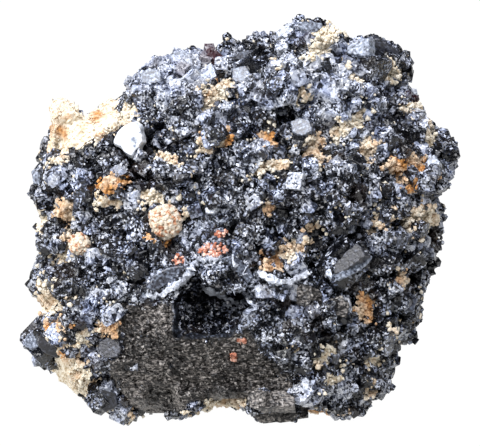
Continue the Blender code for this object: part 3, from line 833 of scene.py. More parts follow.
def spot_share(places, spots):
    """How deep each place on the show face is inside any of the spots, from 0 to 1."""
    share = np.zeros(len(places))
    for across, down, half_length, half_width in spots:
        u, v = (value * MM for value in photo_place(across, down))
        far = np.hypot((places[:, 0] - u) / (half_length * PIXEL), (places[:, 1] - v) / (half_width * PIXEL))
        share = np.maximum(share, np.clip(1.4 - far, 0.0, 1.0))
    return share


def step(values, low, high):
    """0 below low, 1 above high, smooth between."""
    share = np.clip((values - low) / (high - low), 0.0, 1.0)
    return share * share * (3.0 - 2.0 * share)


# Materials

def material(name):
    """A new material with nodes, and its shader."""
    made = bpy.data.materials.new(name)
    made.use_nodes = True
    return made, made.node_tree.nodes["Principled BSDF"]


def put(made, socket, value):
    """Gives a socket another node's output, a colour by its hex code, or a plain value."""
    if isinstance(value, bpy.types.NodeSocket):
        made.node_tree.links.new(value, socket)
    else:
        socket.default_value = linear(value) if isinstance(value, str) else value


def node(made, kind, inputs=(), **settings):
    """Adds a node with its settings. Inputs are pairs of a socket and a value or another node's socket."""
    added = made.node_tree.nodes.new(kind)
    for key, value in settings.items():
        setattr(added, key, value)
    for key, value in inputs:
        put(made, added.inputs[key], value)
    return added


def ramp(made, source, stops):
    """A colour ramp over its stops, each a place from 0 to 1 and a colour's hex code."""
    added = node(made, "ShaderNodeValToRGB", [("Fac", source)])
    band = added.color_ramp
    for element, (place, code) in zip(band.elements, (stops[0], stops[-1])):
        element.position, element.color = place, linear(code)
    for place, code in stops[1:-1]:
        band.elements.new(place).color = linear(code)
    return added.outputs["Color"]


def spacing(size):
    """The texture scale whose pattern repeats about every given millimetres."""
    return 1.0 / (size * MM)


def facets(made, place, size, tilt):
    """Small cells of the surface, each tilted its own way: their height in metres, and each one's shade."""
    cells = node(made, "ShaderNodeTexVoronoi", [("Vector", place), ("Scale", spacing(size))])
    offset = vector_node(made, "SUBTRACT", place, cells.outputs["Position"])
    lean = vector_node(made, "SUBTRACT", cells.outputs["Color"], (0.5, 0.5, 0.5))
    height = vector_node(made, "DOT_PRODUCT", offset.outputs[0], lean.outputs[0])
    shade = node(made, "ShaderNodeSeparateColor", [("Color", cells.outputs["Color"])]).outputs["Green"]
    return math_node(made, "MULTIPLY", height.outputs["Value"], tilt), shade


def vector_node(made, operation, first, second):
    """One sum of two vectors."""
    return node(made, "ShaderNodeVectorMath", [(0, first), (1, second)], operation=operation)


def math_node(made, operation, first, second, clamp=False):
    """One sum of two numbers or sockets."""
    inputs = [(0, first), (1, second)]
    return node(made, "ShaderNodeMath", inputs, operation=operation, use_clamp=clamp).outputs[0]


def noise_node(made, place, size, detail):
    """Smooth noise with features of the given size in millimetres."""
    return node(
        made, "ShaderNodeTexNoise", [("Vector", place), ("Scale", spacing(size)), ("Detail", detail)]
    ).outputs["Fac"]


def ranged(made, source, low, high, to_low, to_high):
    """A value moved from one range to another, and held inside it."""
    return node(
        made, "ShaderNodeMapRange",
        [("Value", source), ("From Min", low), ("From Max", high), ("To Min", to_low), ("To Max", to_high)],
    ).outputs["Result"]


def plus(made, first, second, clamp=False):
    return math_node(made, "ADD", first, second, clamp)


def times(made, first, second):
    return math_node(made, "MULTIPLY", first, second)


def blended(made, share, first, second, way="MIX"):
    """Two colours mixed by a share, or multiplied."""
    inputs = [("Factor", share), (6, first), (7, second)]
    return node(made, "ShaderNodeMix", inputs, data_type="RGBA", blend_type=way).outputs[2]


def bumped(made, shader, height, strength, distance, under=None):
    """Bumps the shader's surface by a height in metres, over another bump if there is one."""
    bump = node(made, "ShaderNodeBump", [("Height", height), ("Strength", strength), ("Distance", distance)])
    if under:
        put(made, bump.inputs["Normal"], under)
    put(made, shader.inputs["Normal"], bump.outputs["Normal"])
    return bump.outputs["Normal"]


def finished(made, shader, colour, roughness, ior=None):
    """Gives the shader its colour, its roughness and, where it differs from 1.5, its index of refraction."""
    put(made, shader.inputs["Base Color"], colour)
    put(made, shader.inputs["Roughness"], roughness)
    if ior:
        shader.inputs["IOR"].default_value = ior
    return made


def own_number(made, key):
    """The piece's own number of that name."""
    return node(made, "ShaderNodeAttribute", attribute_name=key).outputs["Fac"]


def mineral(name):
    """A new material, its shader, and the place on the object."""
    made, shader = material(name)
    return made, shader, node(made, "ShaderNodeTexCoord").outputs["Object"]


def perovskite_material(name, tone_key, maroon_key=None):
    """Perovskite: crystal growth faces, adamantine to submetallic and near black; their steel-blue flashes are
    partly painted into the colour as painted reflection and painted glints.
    """
    made, shader, place = mineral(name)
    broad, broad_shade = facets(made, place, *BROAD_FACET)
    fine, fine_shade = facets(made, place, *FINE_FACET)
    # sparkle: where the fine facet cells carry painted glints in the colour; it also sets how strongly they
    # bump.
    sparkle = ranged(made, noise_node(made, place, 2.2, 2.0), 0.40, 0.56, 0.25, 1.0)
    tone = own_number(made, tone_key) if tone_key else times(made, broad_shade, 0.3)
    mixed = plus(made, times(made, tone, 0.46), times(made, broad_shade, 0.24))
    # Painted glints: the fine facet cells with the highest shade are lightened in the colour.
    painted_glints = times(made, math_node(made, "POWER", fine_shade, 1.5), sparkle)
    mixed = plus(made, mixed, times(made, painted_glints, 0.64))
    # The upper stops, up to the bright faces' colour, are painted reflection of the lights.
    stops = [
        (0.20, looks().dark), (0.44, "#0e1015"), (0.54, "#4a4f5d"), (0.64, "#9aa0ae"), (0.88, looks().bright),
    ]
    colour = ramp(made, mixed, stops)
    blue = ranged(made, noise_node(made, place, 3.0, 3.0), 0.45, 0.70, 0.0, 1.0)
    colour = blended(made, 1.0, colour, blended(made, blue, "#fffefc", "#dde5fa"), "MULTIPLY")
    brown = ranged(made, noise_node(made, place, 5.0, 3.0), 0.56, 0.72, 0.0, 0.6)
    colour = blended(made, brown, colour, "#2a211b")
    if maroon_key:
        colour = blended(made, own_number(made, maroon_key), colour, "#3a1d20")
    worn = ranged(made, noise_node(made, place, 0.7, 3.0), 0.3, 0.7, 0.08, 0.32)
    tilted = bumped(made, shader, broad, 1.0, 1.0)
    bumped(made, shader, fine, sparkle, 1.0, tilted)
    return finished(made, shader, colour, worn, 1.55)


def cleavage_material(name):
    """Perovskite cleaved flat: its mirror-like reflection of the light is painted into a nearly white colour,
    with faint grey veins.
    """
    made, shader, place = mineral(name)
    # Painted reflection: the near-white stops stand in for the light mirrored by the cleaved face.
    stops = [(0.34, "#6f7888"), (0.41, "#c2c8d2"), (0.47, "#e2e6ec"), (0.62, "#f2f4f7")]
    veins = ramp(made, noise_node(made, place, 1.1, 6.0), stops)
    fine, _ = facets(made, place, 0.9, 0.4)
    bumped(made, shader, fine, 1.0, 1.0)
    return finished(made, shader, veins, 0.4, 1.6)


def flat_material(name):
    """Perovskite growth faces, smooth and finely striated: submetallic, dark to steel-grey by each face's
    tone, which holds its own shade and a painted reflection."""
    made, shader, place = mineral(name)
    turned = [("Vector", place), ("Rotation", (0.3, 0.9, 0.4)), ("Scale", (1.0, 6.0, 1.0))]
    streaks = node(made, "ShaderNodeMapping", turned).outputs["Vector"]
    grooves = noise_node(made, streaks, 1.2, 4.0)
    fine = noise_node(made, place, 0.35, 4.0)
    toned = plus(made, own_number(made, "tone"), ranged(made, grooves, 0.3, 0.7, -0.16, 0.16))
    toned = plus(made, toned, ranged(made, fine, 0.3, 0.7, -0.28, 0.28), True)
    # The pale stops are painted reflection on the brighter faces.
    stops = [(0.0, "#101117"), (0.25, "#30323c"), (0.5, "#626a78"), (0.75, "#a3abba"), (1.0, "#e2e6ee")]
    bumped(made, shader, fine, 0.5, 0.10 * MM)
    return finished(made, shader, ramp(made, toned, stops), ranged(made, fine, 0.3, 0.7, 0.22, 0.5), 1.7)


def carbonate_material(name, stain_key):
    """Carbonate matrix: granular and porous, so it is dull, cream where clean and ochre where iron seeped
    in."""
    made, shader, place = mineral(name)
    cloudy = noise_node(made, place, 2.4, 5.0)
    grain = noise_node(made, place, 0.45, 3.0)
    toned = plus(made, grain, times(made, own_number(made, "shade"), 0.12))
    base = ramp(made, toned, [(0.32, "#8d7758"), (0.43, "#bfb096"), (0.60, looks().cream)])
    seeped = times(made, ranged(made, cloudy, 0.46, 0.66, 0.0, 1.0), 0.34)
    iron = times(made, own_number(made, stain_key), ranged(made, cloudy, 0.30, 0.60, 0.5, 1.1))
    iron = math_node(made, "SUBTRACT", plus(made, seeped, iron), 0.22, True)
    ochre = ramp(made, grain, [(0.35, "#8a5424"), (0.55, looks().ochre)])
    bumped(made, shader, grain, 0.6, 0.15 * MM)
    return finished(made, shader, blended(made, iron, base, ochre), 0.88)


def fracture_material(name):
    """Perovskite broken across: an uneven, ledged fracture, so it is a dull graphite grey with a weak sheen.

    The piece's own numbers say where it is sugary, with painted glitter, where it lines the pocket and the
    hollows, painted near black as painted shade, and where it is a pale crest, lightened by a painted
    highlight.
    """
    made, shader, place = mineral(name)
    broad = noise_node(made, place, 4.0, 4.0)
    turned = [("Vector", place), ("Rotation", (0.0, 0.5, 0.0)), ("Scale", (0.45, 1.0, 1.0))]
    streaks = node(made, "ShaderNodeMapping", turned).outputs["Vector"]
    fine = noise_node(made, streaks, 0.28, 6.0)
    ledge = math_node(made, "SUBTRACT", noise_node(made, streaks, 2.6, 4.0), 0.5)
    ledge = math_node(made, "ABSOLUTE", ledge, 0.0)
    height, cells = facets(made, place, *FINE_FACET)
    sharp = math_node(made, "POWER", cells, 4.0)
    grains = plus(made, times(made, fine, 0.72), times(made, broad, 0.28))
    dull = ramp(made, grains, [(0.40, "#040303"), (0.51, "#292624"), (0.62, "#8e8883")])
    dull = blended(made, ranged(made, sharp, 0.45, 1.0, 0.0, 0.8), dull, "#a39e98")
    dull = blended(made, ranged(made, ledge, 0.004, 0.022, 0.9, 0.0), dull, "#050505")
    # Painted glitter: the sugary growth's facet cells, from near black to pale blue.
    painted_glitter = ramp(made, cells, [(0.15, "#15181e"), (0.5, "#6d7584"), (0.85, "#d2d9e5")])
    colour = blended(made, own_number(made, "sugar"), dull, painted_glitter)
    # Painted shade: the pocket and the hollows are near black, with faint pale specks.
    inner = blended(made, sharp, "#0b0b0f", "#474f5e")
    colour = blended(made, own_number(made, "pocket"), colour, inner)
    # The fins' crests: a painted highlight, pale where brightest, with darker cells and mottling.
    crest = own_number(made, "crest")
    pale = ramp(made, crest, [(0.0, "#3a3e49"), (0.3, "#7f8798"), (0.8, "#d3d8e2")])
    dim = times(made, ranged(made, cells, 0.05, 0.45, 0.9, 0.0), ranged(made, crest, 0.2, 1.0, 1.0, 0.2))
    rim = blended(made, dim, pale, "#1c1f27")
    mottled = times(made, ranged(made, fine, 0.40, 0.52, 0.75, 0.0), ranged(made, crest, 0.7, 1.0, 1.0, 0.4))
    rim = blended(made, mottled, rim, "#4a5060")
    colour = blended(made, ranged(made, crest, 0.0, 0.01, 0.0, 1.0), colour, rim)
    tilted = bumped(made, shader, height, 0.7, 1.0)
    bumped(made, shader, fine, 0.5, 0.08 * MM, tilted)
    return finished(made, shader, colour, ranged(made, fine, 0.3, 0.7, 0.3, 0.6), 1.45)


def nodule_material(name, shade_key):
    """Carbonate speckled with iron oxide: dull cream knobs with red-brown specks between them."""
    made, shader, place = mineral(name)
    toned = plus(made, noise_node(made, place, 0.7, 3.0), times(made, own_number(made, shade_key), 0.16))
    stops = [(0.36, "#6a3a24"), (0.45, "#b5805e"), (0.53, "#bdae98"), (0.75, "#cdc4b6")]
    return finished(made, shader, ramp(made, toned, stops), 0.85)


def rust_material(name):
    """Iron oxide in earthy grains: dull orange-red."""
    made, shader, place = mineral(name)
    toned = plus(made, noise_node(made, place, 0.5, 3.0), times(made, own_number(made, "shade"), 0.3))
    stops = [(0.35, "#4a2418"), (0.60, "#a5644a"), (0.85, "#d8b3a2")]
    return finished(made, shader, ramp(made, toned, stops), 0.85)


def dress(thing, made):
    thing.data.materials.clear()
    thing.data.materials.append(made)


# Operators

class SPECIMEN_OT_stage(bpy.types.Operator):
    """Adds the white floor, the soft lights and the camera"""

    bl_idname = "specimen.stage"
    bl_label = "Stage"

    def execute(self, context):
        deselect()
        bpy.ops.mesh.primitive_plane_add(size=FLOOR_SIZE)
        floor = context.object
        floor.name = "floor"
        acrylic, shader = material("backlit_white_acrylic")
        shader.inputs["Base Color"].default_value = (0.02, 0.02, 0.02, 1.0)
        shader.inputs["Roughness"].default_value = 0.9
        shader.inputs["Specular IOR Level"].default_value = 0.0
        shader.inputs["Emission Color"].default_value = (1.0, 1.0, 1.0, 1.0)
        shader.inputs["Emission Strength"].default_value = 1.0
        dress(floor, acrylic)

        world = bpy.data.worlds.new("studio")
        context.scene.world = world
        world.use_nodes = True
        sky = world.node_tree.nodes["Background"]
        sky.inputs["Color"].default_value = linear("#dfe3ea")
        sky.inputs["Strength"].default_value = SKY_STRENGTH

        for light in LIGHTS:
            softbox(*light)

        camera = bpy.data.objects.new("camera", bpy.data.cameras.new("camera"))
        context.scene.collection.objects.link(camera)
        camera.location = camera_place()
        camera.rotation_euler = (math.radians(90.0) - FACE_TILT, 0.0, 0.0)
        camera.data.sensor_width = SENSOR_WIDTH
        camera.data.lens = SENSOR_WIDTH * CAMERA_DISTANCE / (PHOTO_SIZE[0] * PIXEL)
        camera.data.clip_start = 0.01
        context.scene.camera = camera
        context.scene.view_settings.view_transform = "Standard"
        context.scene.view_settings.look = "None"
        return {"FINISHED"}


def softbox(name, place, width, depth, power, colour):
    """A rectangular soft light that looks at the specimen's middle."""
    lamp = bpy.data.lights.new(name, "AREA")
    lamp.shape = "RECTANGLE"
    lamp.size, lamp.size_y = width, depth
    lamp.energy = power
    lamp.color = linear(colour)[:3]
    made = bpy.data.objects.new(name, lamp)
    bpy.context.scene.collection.objects.link(made)
    made.location = place
    made.rotation_euler = (FACE_CENTRE - Vector(place)).to_track_quat("-Z", "Y").to_euler()
    return made


class SPECIMEN_OT_solids(bpy.types.Operator):
    """Gives the solids that stay in view their minerals' materials"""

    bl_idname = "specimen.solids"
    bl_label = "Solids"

    def execute(self, context):
        faces = perovskite_material("perovskite_growth_faces", None)
        dull = fracture_material("perovskite_dull_block")
        finishes = {"bottom_block": dull}
        for name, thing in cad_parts.items():
            if name not in REPLACED_NODES:
                dress(thing, finishes.get(name, faces))
        return {"FINISHED"}


def drawn_sizes(low, high, lean, count, dice):
    """Random sizes between two limits, with more small ones the higher the lean."""
    return low * (high / low) ** (dice.random(count) ** lean)


def sown(points, normals, sizes, crowding, *others):
    """Keeps the samples that have room, the largest first."""
    order = np.argsort(-sizes, kind="stable")
    kept = order[spaced_out(points[order], sizes[order], crowding)]
    return (points[kept], normals[kept], sizes[kept]) + tuple(other[kept] for other in others)


def finish_piece(made, finish):
    """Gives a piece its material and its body."""
    dress(made, finish)
    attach(made, "root")


class SPECIMEN_OT_crust_rock(bpy.types.Operator):
    """Breaks the crust's surface into small facets, with carbonate in the hollows"""

    bl_idname = "specimen.crust_rock"
    bl_label = "Crust rock"

    def execute(self, context):
        made = detailed_copy("crystal_crust", "crust_rock")
        points, normals = vertex_rows(made.data)
        lift, broken, bright, hollow = crust_shape(points)
        share, stain = patch_share(points)
        lift = np.where(share > 0.05, np.maximum(lift, -0.45 * MM), lift)
        reshape(made.data, points + normals * lift[:, None])
        made.data.shade_flat()
        keep_number(made.data, "stain", np.where(share > 0.02, stain, 0.35))
        # Painted shade darkens the crust rock in the gaps, and a painted highlight lightens it along the fins.
        gap = oval_share(face_places(points) / MM, GAPS)
        keep_number(made.data, "tone", np.clip(0.05 + tone_and_painted_light(points) + 0.4 * bright - gap, 0.0, 1.0))
        finish_piece(made, perovskite_material("perovskite_crust_rock", "tone"))
        made.data.materials.append(carbonate_material("carbonate_in_hollows", "stain"))
        made.data.materials.append(fracture_material("perovskite_broken_crust"))
        pale = (share > 0.02) | (hollow > 0.5)
        kinds = np.where(broken > 0.5, 2, pale.astype(int))
        made.data.polygons.foreach_set(
            "material_index", [int(min(kinds[i] for i in poly.vertices)) for poly in made.data.polygons]
        )
        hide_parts("crystal_crust")
        return {"FINISHED"}


class SPECIMEN_OT_crust_crystals(bpy.types.Operator):
    """Covers the crust with small crystals, and leaves the cream patches clear"""

    bl_idname = "specimen.crust_crystals"
    bl_label = "Crust crystals"

    def execute(self, context):
        dice = np.random.default_rng(11)
        points, normals = outside_samples(DARK_NODES, looks().small_crystals, dice)
        share, _ = patch_share(points)
        lift, broken, bright, _ = crust_shape(points)
        sizes = drawn_sizes(looks().smallest, looks().largest, 1.9, len(points), dice)
        sizes = np.where(side_on(points), np.minimum(sizes, 1.0 * MM), sizes)
        strewn = (share < 0.5) & (dice.random(len(points)) < 0.05) & (sizes < 0.9 * MM)
        clear = ((share < 0.08) | strewn) & inside_box(points, sizes) & (broken < 0.2) & (bright < 0.15)
        clear &= ~under_flat_face(points) & (oval_share(face_places(points) / MM, GAPS) < 0.8)
        rows = (points + normals * lift[:, None], normals, sizes)
        points, normals, sizes = sown(*(row[clear] for row in rows), 0.36)
        forms = crystal_forms()
        kinds, turns = kinds_and_turns(forms, normals, 38.0, dice)
        sink = 0.1 - 0.3 * (sizes / looks().largest)[:, None] - dice.uniform(0.0, 0.25, (len(points), 1))
        places = points + normals * sizes[:, None] * sink
        tones = np.clip(dice.random(len(points)) ** 1.3 * 0.9 + tone_and_painted_light(points), 0.0, 1.0)
        maroon = spot_share(face_places(points), MAROON_SPOTS)
        finish = perovskite_material("perovskite_small_crystals", "tone", "maroon")
        for part in range(CRUST_PIECES):
            mine = np.arange(len(points)) % CRUST_PIECES == part
            made = joined_copies(
                f"small_crystals_{part + 1}", forms, kinds[mine], places[mine], turns[mine], sizes[mine],
                {"tone": tones[mine], "maroon": maroon[mine]},
            )
            finish_piece(made, finish)
        print("small crystals", len(points))
        return {"FINISHED"}


class SPECIMEN_OT_cream_grains(bpy.types.Operator):
    """Fills the cream patches with carbonate grains, and strews single grains between the crystals"""

    bl_idname = "specimen.cream_grains"
    bl_label = "Cream grains"

    def execute(self, context):
        dice = np.random.default_rng(12)
        points, normals = outside_samples(DARK_NODES + PALE_NODES, GRAIN_TRIES, dice)
        lift, broken, bright, _ = crust_shape(points)
        share, stain = patch_share(points)
        share = np.where(side_on(points), np.minimum(share, 0.1), share)
        lump = spot_share(face_places(points), CLEAR_LUMPS) * (normals[:, 1] < 0.5)
        near = np.array([DARK_SOLIDS.find_nearest(Vector(point))[3] for point in points])
        strewn = (rough(points, 2.2 * MM, 31.0) > 0.22) & (dice.random(len(points)) < 0.16)
        sizes = drawn_sizes(0.24 * MM, 0.72 * MM, 1.8, len(points), dice) * np.where(near > 0.2 * MM, 0.7, 1.0)
        sizes = np.where(strewn, np.minimum(sizes, 0.5 * MM), sizes)
        in_patch = (share > 0.0) | ((lump > 0.05) & (near > 0.2 * MM))
        in_patch &= (near < 0.2 * MM) | (dice.random(len(points)) < 0.12)
        kept = (in_patch | strewn) & (broken < 0.3) & (bright < 0.3) & inside_box(points, sizes)
        kept &= ~under_flat_face(points)
        lift = np.where(in_patch, np.maximum(lift, -0.35 * MM), lift) * (near < 0.2 * MM)
        points = points + normals * (lift + np.where(near < 0.2 * MM, 0.1, -0.3) * MM)[:, None]
        rows = (points, normals, sizes)
        points, normals, sizes, stain = sown(*(row[kept] for row in rows), 0.27, stain[kept])
        forms = [grain_form(0.34, 1, dice) for _ in range(8)]
        kinds, turns = kinds_and_turns(forms, normals, 60.0, dice)
        shades = dice.random(len(points))
        finish = carbonate_material("carbonate_grains", "stain")
        for part in range(GRAIN_PIECES):
            mine = np.arange(len(points)) % GRAIN_PIECES == part
            made = joined_copies(
                f"carbonate_grains_{part + 1}", forms, kinds[mine], points[mine], turns[mine],
                sizes[mine] * 1.3,
                {"stain": stain[mine], "shade": shades[mine]},
            )
            finish_piece(made, finish)
        print("grains", len(points))
        return {"FINISHED"}


class SPECIMEN_OT_large_crystal(bpy.types.Operator):
    """Breaks the large crystal's faces into ledges, lines its pocket and covers its top with sugary
    crystals"""

    bl_idname = "specimen.large_crystal"
    bl_label = "Large crystal"

    def execute(self, context):
        made = detailed_copy("large_crystal", "broken_crystal")
        points, normals = vertex_rows(made.data)
        places = face_places(points) / MM
        facing = normals @ np.array(FACE_TURN)
        front = step(facing[:, 2], 0.1, 0.5)
        inner = in_pocket(places, facing, 0.4)
        open_face = front * (1.0 - inner)
        sugar = sugar_share(places) * open_face
        broken = (1.0 - sugar) * open_face
        hollows = oval_share(places, HOLLOWS)
        lift = broken * ledges(points, places)
        lift += sugar * (0.24 * rough(points, 0.8 * MM, 2.0) + 0.30 * rough(points, 2.6 * MM, 4.0))
        lift += inner * (0.55 * rough(points, 1.7 * MM, 6.0) + 0.25 * rough(points, 0.7 * MM, 7.0))
        lift += open_face * (-hollows - 0.2)
        reshape(made.data, points + normals * lift[:, None] * MM)
        made.data.shade_flat()
        keep_number(made.data, "sugar", np.clip(sugar - hollows, 0.0, 1.0))
        # Painted shade: the pocket's lining and the hollows are marked to be painted near black.
        keep_number(made.data, "pocket", np.clip(inner + hollows * open_face, 0.0, 1.0))
        finish_piece(made, fracture_material("perovskite_fracture"))
        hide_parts("large_crystal")
        self.sow(made)
        return {"FINISHED"}

    def sow(self, made):
        """Sows the small crystals and the rust grains that sit on the large crystal."""
        dice = np.random.default_rng(21)
        points, normals = surface_samples([made.data], SUGARY_TRIES, dice)
        places = face_places(points) / MM
        facing = normals @ np.array(FACE_TURN)
        inner = in_pocket(places, facing, 0.2)
        open_face = (facing[:, 2] > 0.2) & ~inner
        hollows = np.clip(oval_share(places, HOLLOWS), 0.0, 1.0) * open_face
        sugar = sugar_share(places) * open_face * (1.0 - 0.7 * hollows)
        bright = fin_share(places) * open_face
        deep = inner & (places[:, 2] < POCKET_LIP - 1.2)
        chance = np.clip(sugar * 0.9, 0.0, 1.0) * (bright < 0.4) + open_face * 0.012 + deep * 0.45
        kept = dice.random(len(points)) < chance
        points, normals, sugar, bright, inner, hollows = (
            rows[kept] for rows in (points, normals, sugar, bright, inner, hollows)
        )
        sizes = drawn_sizes(0.24 * MM, 0.85 * MM, 2.0, len(points), dice) * np.where(inner, 1.5, 1.0)
        sizes = np.where(bright > 0.3, np.minimum(sizes, 0.45 * MM), sizes)
        points, normals, sizes, sugar, bright, inner, hollows = sown(
            points, normals, sizes, 0.36, sugar, bright, inner, hollows
        )
        # Painted light and shade in the crystals' tone: lighter at random on the sugary growth, brighter along
        # the fins as a painted highlight, darker in the hollows and dark in the pocket as painted shade.
        tones = 0.12 + 0.75 * dice.random(len(points)) * np.clip(sugar + bright, 0.0, 1.0) + 0.55 * bright
        tones = np.where(inner, 0.6 * dice.random(len(points)) ** 2, tones * (1.0 - hollows))
        forms = crystal_forms()
        kinds, turns = kinds_and_turns(forms, normals, 40.0, dice)
        crystals = joined_copies(
            "sugary_crystals", forms, kinds, points, turns, sizes, {"tone": np.clip(tones, 0.0, 1.0)}
        )
        finish_piece(crystals, perovskite_material("perovskite_sugary_crystals", "tone"))


class SPECIMEN_OT_fins(bpy.types.Operator):
    """Raises the thin fins round the pocket and the bowl, their crests lightened with a painted highlight"""

    bl_idname = "specimen.fins"
    bl_label = "Fins"

    def execute(self, context):
        dice = np.random.default_rng(81)
        graph = context.evaluated_depsgraph_get()
        carriers = [bpy.data.objects[name] for name in ("broken_crystal", "crust_rock")]
        trees = [BVHTree.FromObject(carrier, graph) for carrier in carriers]
        corners, faces, tones = [], [], []
        for height, half_width, bright, pixels in FINS:
            ends = np.array([photo_place(*pixel) for pixel in pixels])
            lengths = np.linalg.norm(np.diff(ends, axis=0), axis=1)
            total = lengths.sum()
            count = max(int(total / FIN_STEP), 3)
            along = np.linspace(0.0, total, count)
            run = np.concatenate([[0.0], np.cumsum(lengths)])
            u, v = (np.interp(along, run, ends[:, i]) for i in (0, 1))
            du, dv = np.gradient(u), np.gradient(v)
            size = np.hypot(du, dv)
            side = np.stack([-dv / size, du / size], axis=1)
            depths = np.array([self.depth(trees, u[i], v[i], side[i]) for i in range(count)])
            depths = np.convolve(np.pad(depths, 2, mode="edge"), np.ones(5) / 5.0, mode="valid")
            taper = np.sin(np.linspace(0.12, math.pi - 0.12, count)) ** 0.4
            ragged = 1.35 - bright
            rise = depths + height * taper * (1.0 + ragged * dice.uniform(-1.0, 0.4, count))
            start = len(corners)
            # Painted highlight: the crest tone, brighter in random spots along each fin.
            spots = 5 + count // 3
            painted_highlight_share = np.interp(along, np.linspace(0.0, total, spots), dice.uniform(0.0, 1.0, spots))
            for i in range(count):
                wide = half_width * (1.0 + ragged * dice.uniform(-0.7, 1.2))
                thin = half_width * (0.5 + ragged * dice.uniform(-0.5, 0.5))
                lean = ragged * dice.uniform(-0.8, 0.8)
                tones += [bright + (1.0 - bright) * painted_highlight_share[i]] * 4
                base = depths[i] - 1.4
                low_crest = rise[i] - dice.uniform(0.0, 0.3)
                section = ((-wide, base), (lean - thin, low_crest), (lean + thin, rise[i]), (wide, base))
                for across, out in section:
                    place = (u[i] + side[i, 0] * across, v[i] + side[i, 1] * across)
                    shrink = 1.0 - out * MM / CAMERA_DISTANCE
                    corners.append(on_face(place[0] * shrink * MM, place[1] * shrink * MM, out * MM))
            for i in range(count - 1):
                here = start + 4 * i
                for k in range(4):
                    ahead = here + (k + 1) % 4
                    faces.append([here + k, here + k + 4, ahead + 4, ahead])
            last = start + 4 * (count - 1)
            faces += [[start, start + 1, start + 2, start + 3], [last + 3, last + 2, last + 1, last]]
        mesh = bpy.data.meshes.new("bright_fins")
        mesh.from_pydata(corners, [], faces)
        made = closed_piece(context, mesh)
        keep_number(mesh, "crest", tones)
        finish_piece(made, fracture_material("perovskite_fins"))
        return {"FINISHED"}

    def depth(self, trees, u, v, side):
        """How far out the surface is at a place on the show face, the furthest out of a few places beside
        it."""
        found = [6.0]
        for away in (-0.5, -0.25, 0.0, 0.25, 0.5):
            sight = line_of_sight(u + side[0] * away, v + side[1] * away)
            for tree in trees:
                point = tree.ray_cast(*sight)[0]
                if point is not None:
                    found.append(face_places([point])[0][2] / MM)
        return max(found)


def closed_piece(context, mesh):
    """Links a mesh as a new object, with its normals outward and its faces flat."""
    mesh.validate()
    made = bpy.data.objects.new(mesh.name, mesh)
    context.scene.collection.objects.link(made)
    deselect()
    context.view_layer.objects.active = made
    made.select_set(True)
    edit_everything()
    bpy.ops.mesh.normals_make_consistent(inside=False)
    bpy.ops.object.mode_set(mode="OBJECT")
    mesh.shade_flat()
    return made


def bevelled_piece(context, mesh):
    """Links a mesh as a new object and takes off its edges."""
    made = closed_piece(context, mesh)
    edit_everything()
    bpy.ops.mesh.bevel(offset=FACE_BEVEL, segments=1)
    bpy.ops.object.mode_set(mode="OBJECT")
    mesh.shade_flat()
    return made


def uneven_outline(outline, dice):
    """The outline with each side chipped: a few more corners along it, each moved a little."""
    corners = []
    for (x0, y0), (x1, y1) in zip(outline, outline[1:] + outline[:1]):
        parts = max(int(math.hypot(x1 - x0, y1 - y0) / CHIP_PIXELS), 1)
        for k in range(parts):
            share = k / parts
            moved = dice.uniform(-CHIP_DEPTH, CHIP_DEPTH, 2)
            corners.append((x0 + (x1 - x0) * share + moved[0], y0 + (y1 - y0) * share + moved[1]))
    return corners


def slab(outline, outward, out, thickness):
    """Corners and faces of a slab whose front, seen by the camera, has the outline in pixels."""
    eye = camera_place()
    u, v = photo_place(*np.array(outline).mean(0))
    hit = SOLIDS.ray_cast(*line_of_sight(u, v))[0]
    if hit is None:
        hit = on_face(u * MM, v * MM, 0.0)
    top = hit + FACE_OUT * out * MM
    front = []
    for pixel in outline:
        u, v = photo_place(*pixel)
        ray = on_face(u * MM, v * MM, 0.0) - eye
        front.append(eye + ray * ((top - eye).dot(outward) / ray.dot(outward)))
    centre = sum(front, Vector()) / len(front)
    back = [centre + (corner - centre) * FACE_FLARE - outward * thickness for corner in front]
    count = len(front)
    faces = [list(range(count)), list(range(2 * count - 1, count - 1, -1))]
    faces += [[i, i + count, (i + 1) % count + count, (i + 1) % count] for i in range(count)]
    return front + back, faces


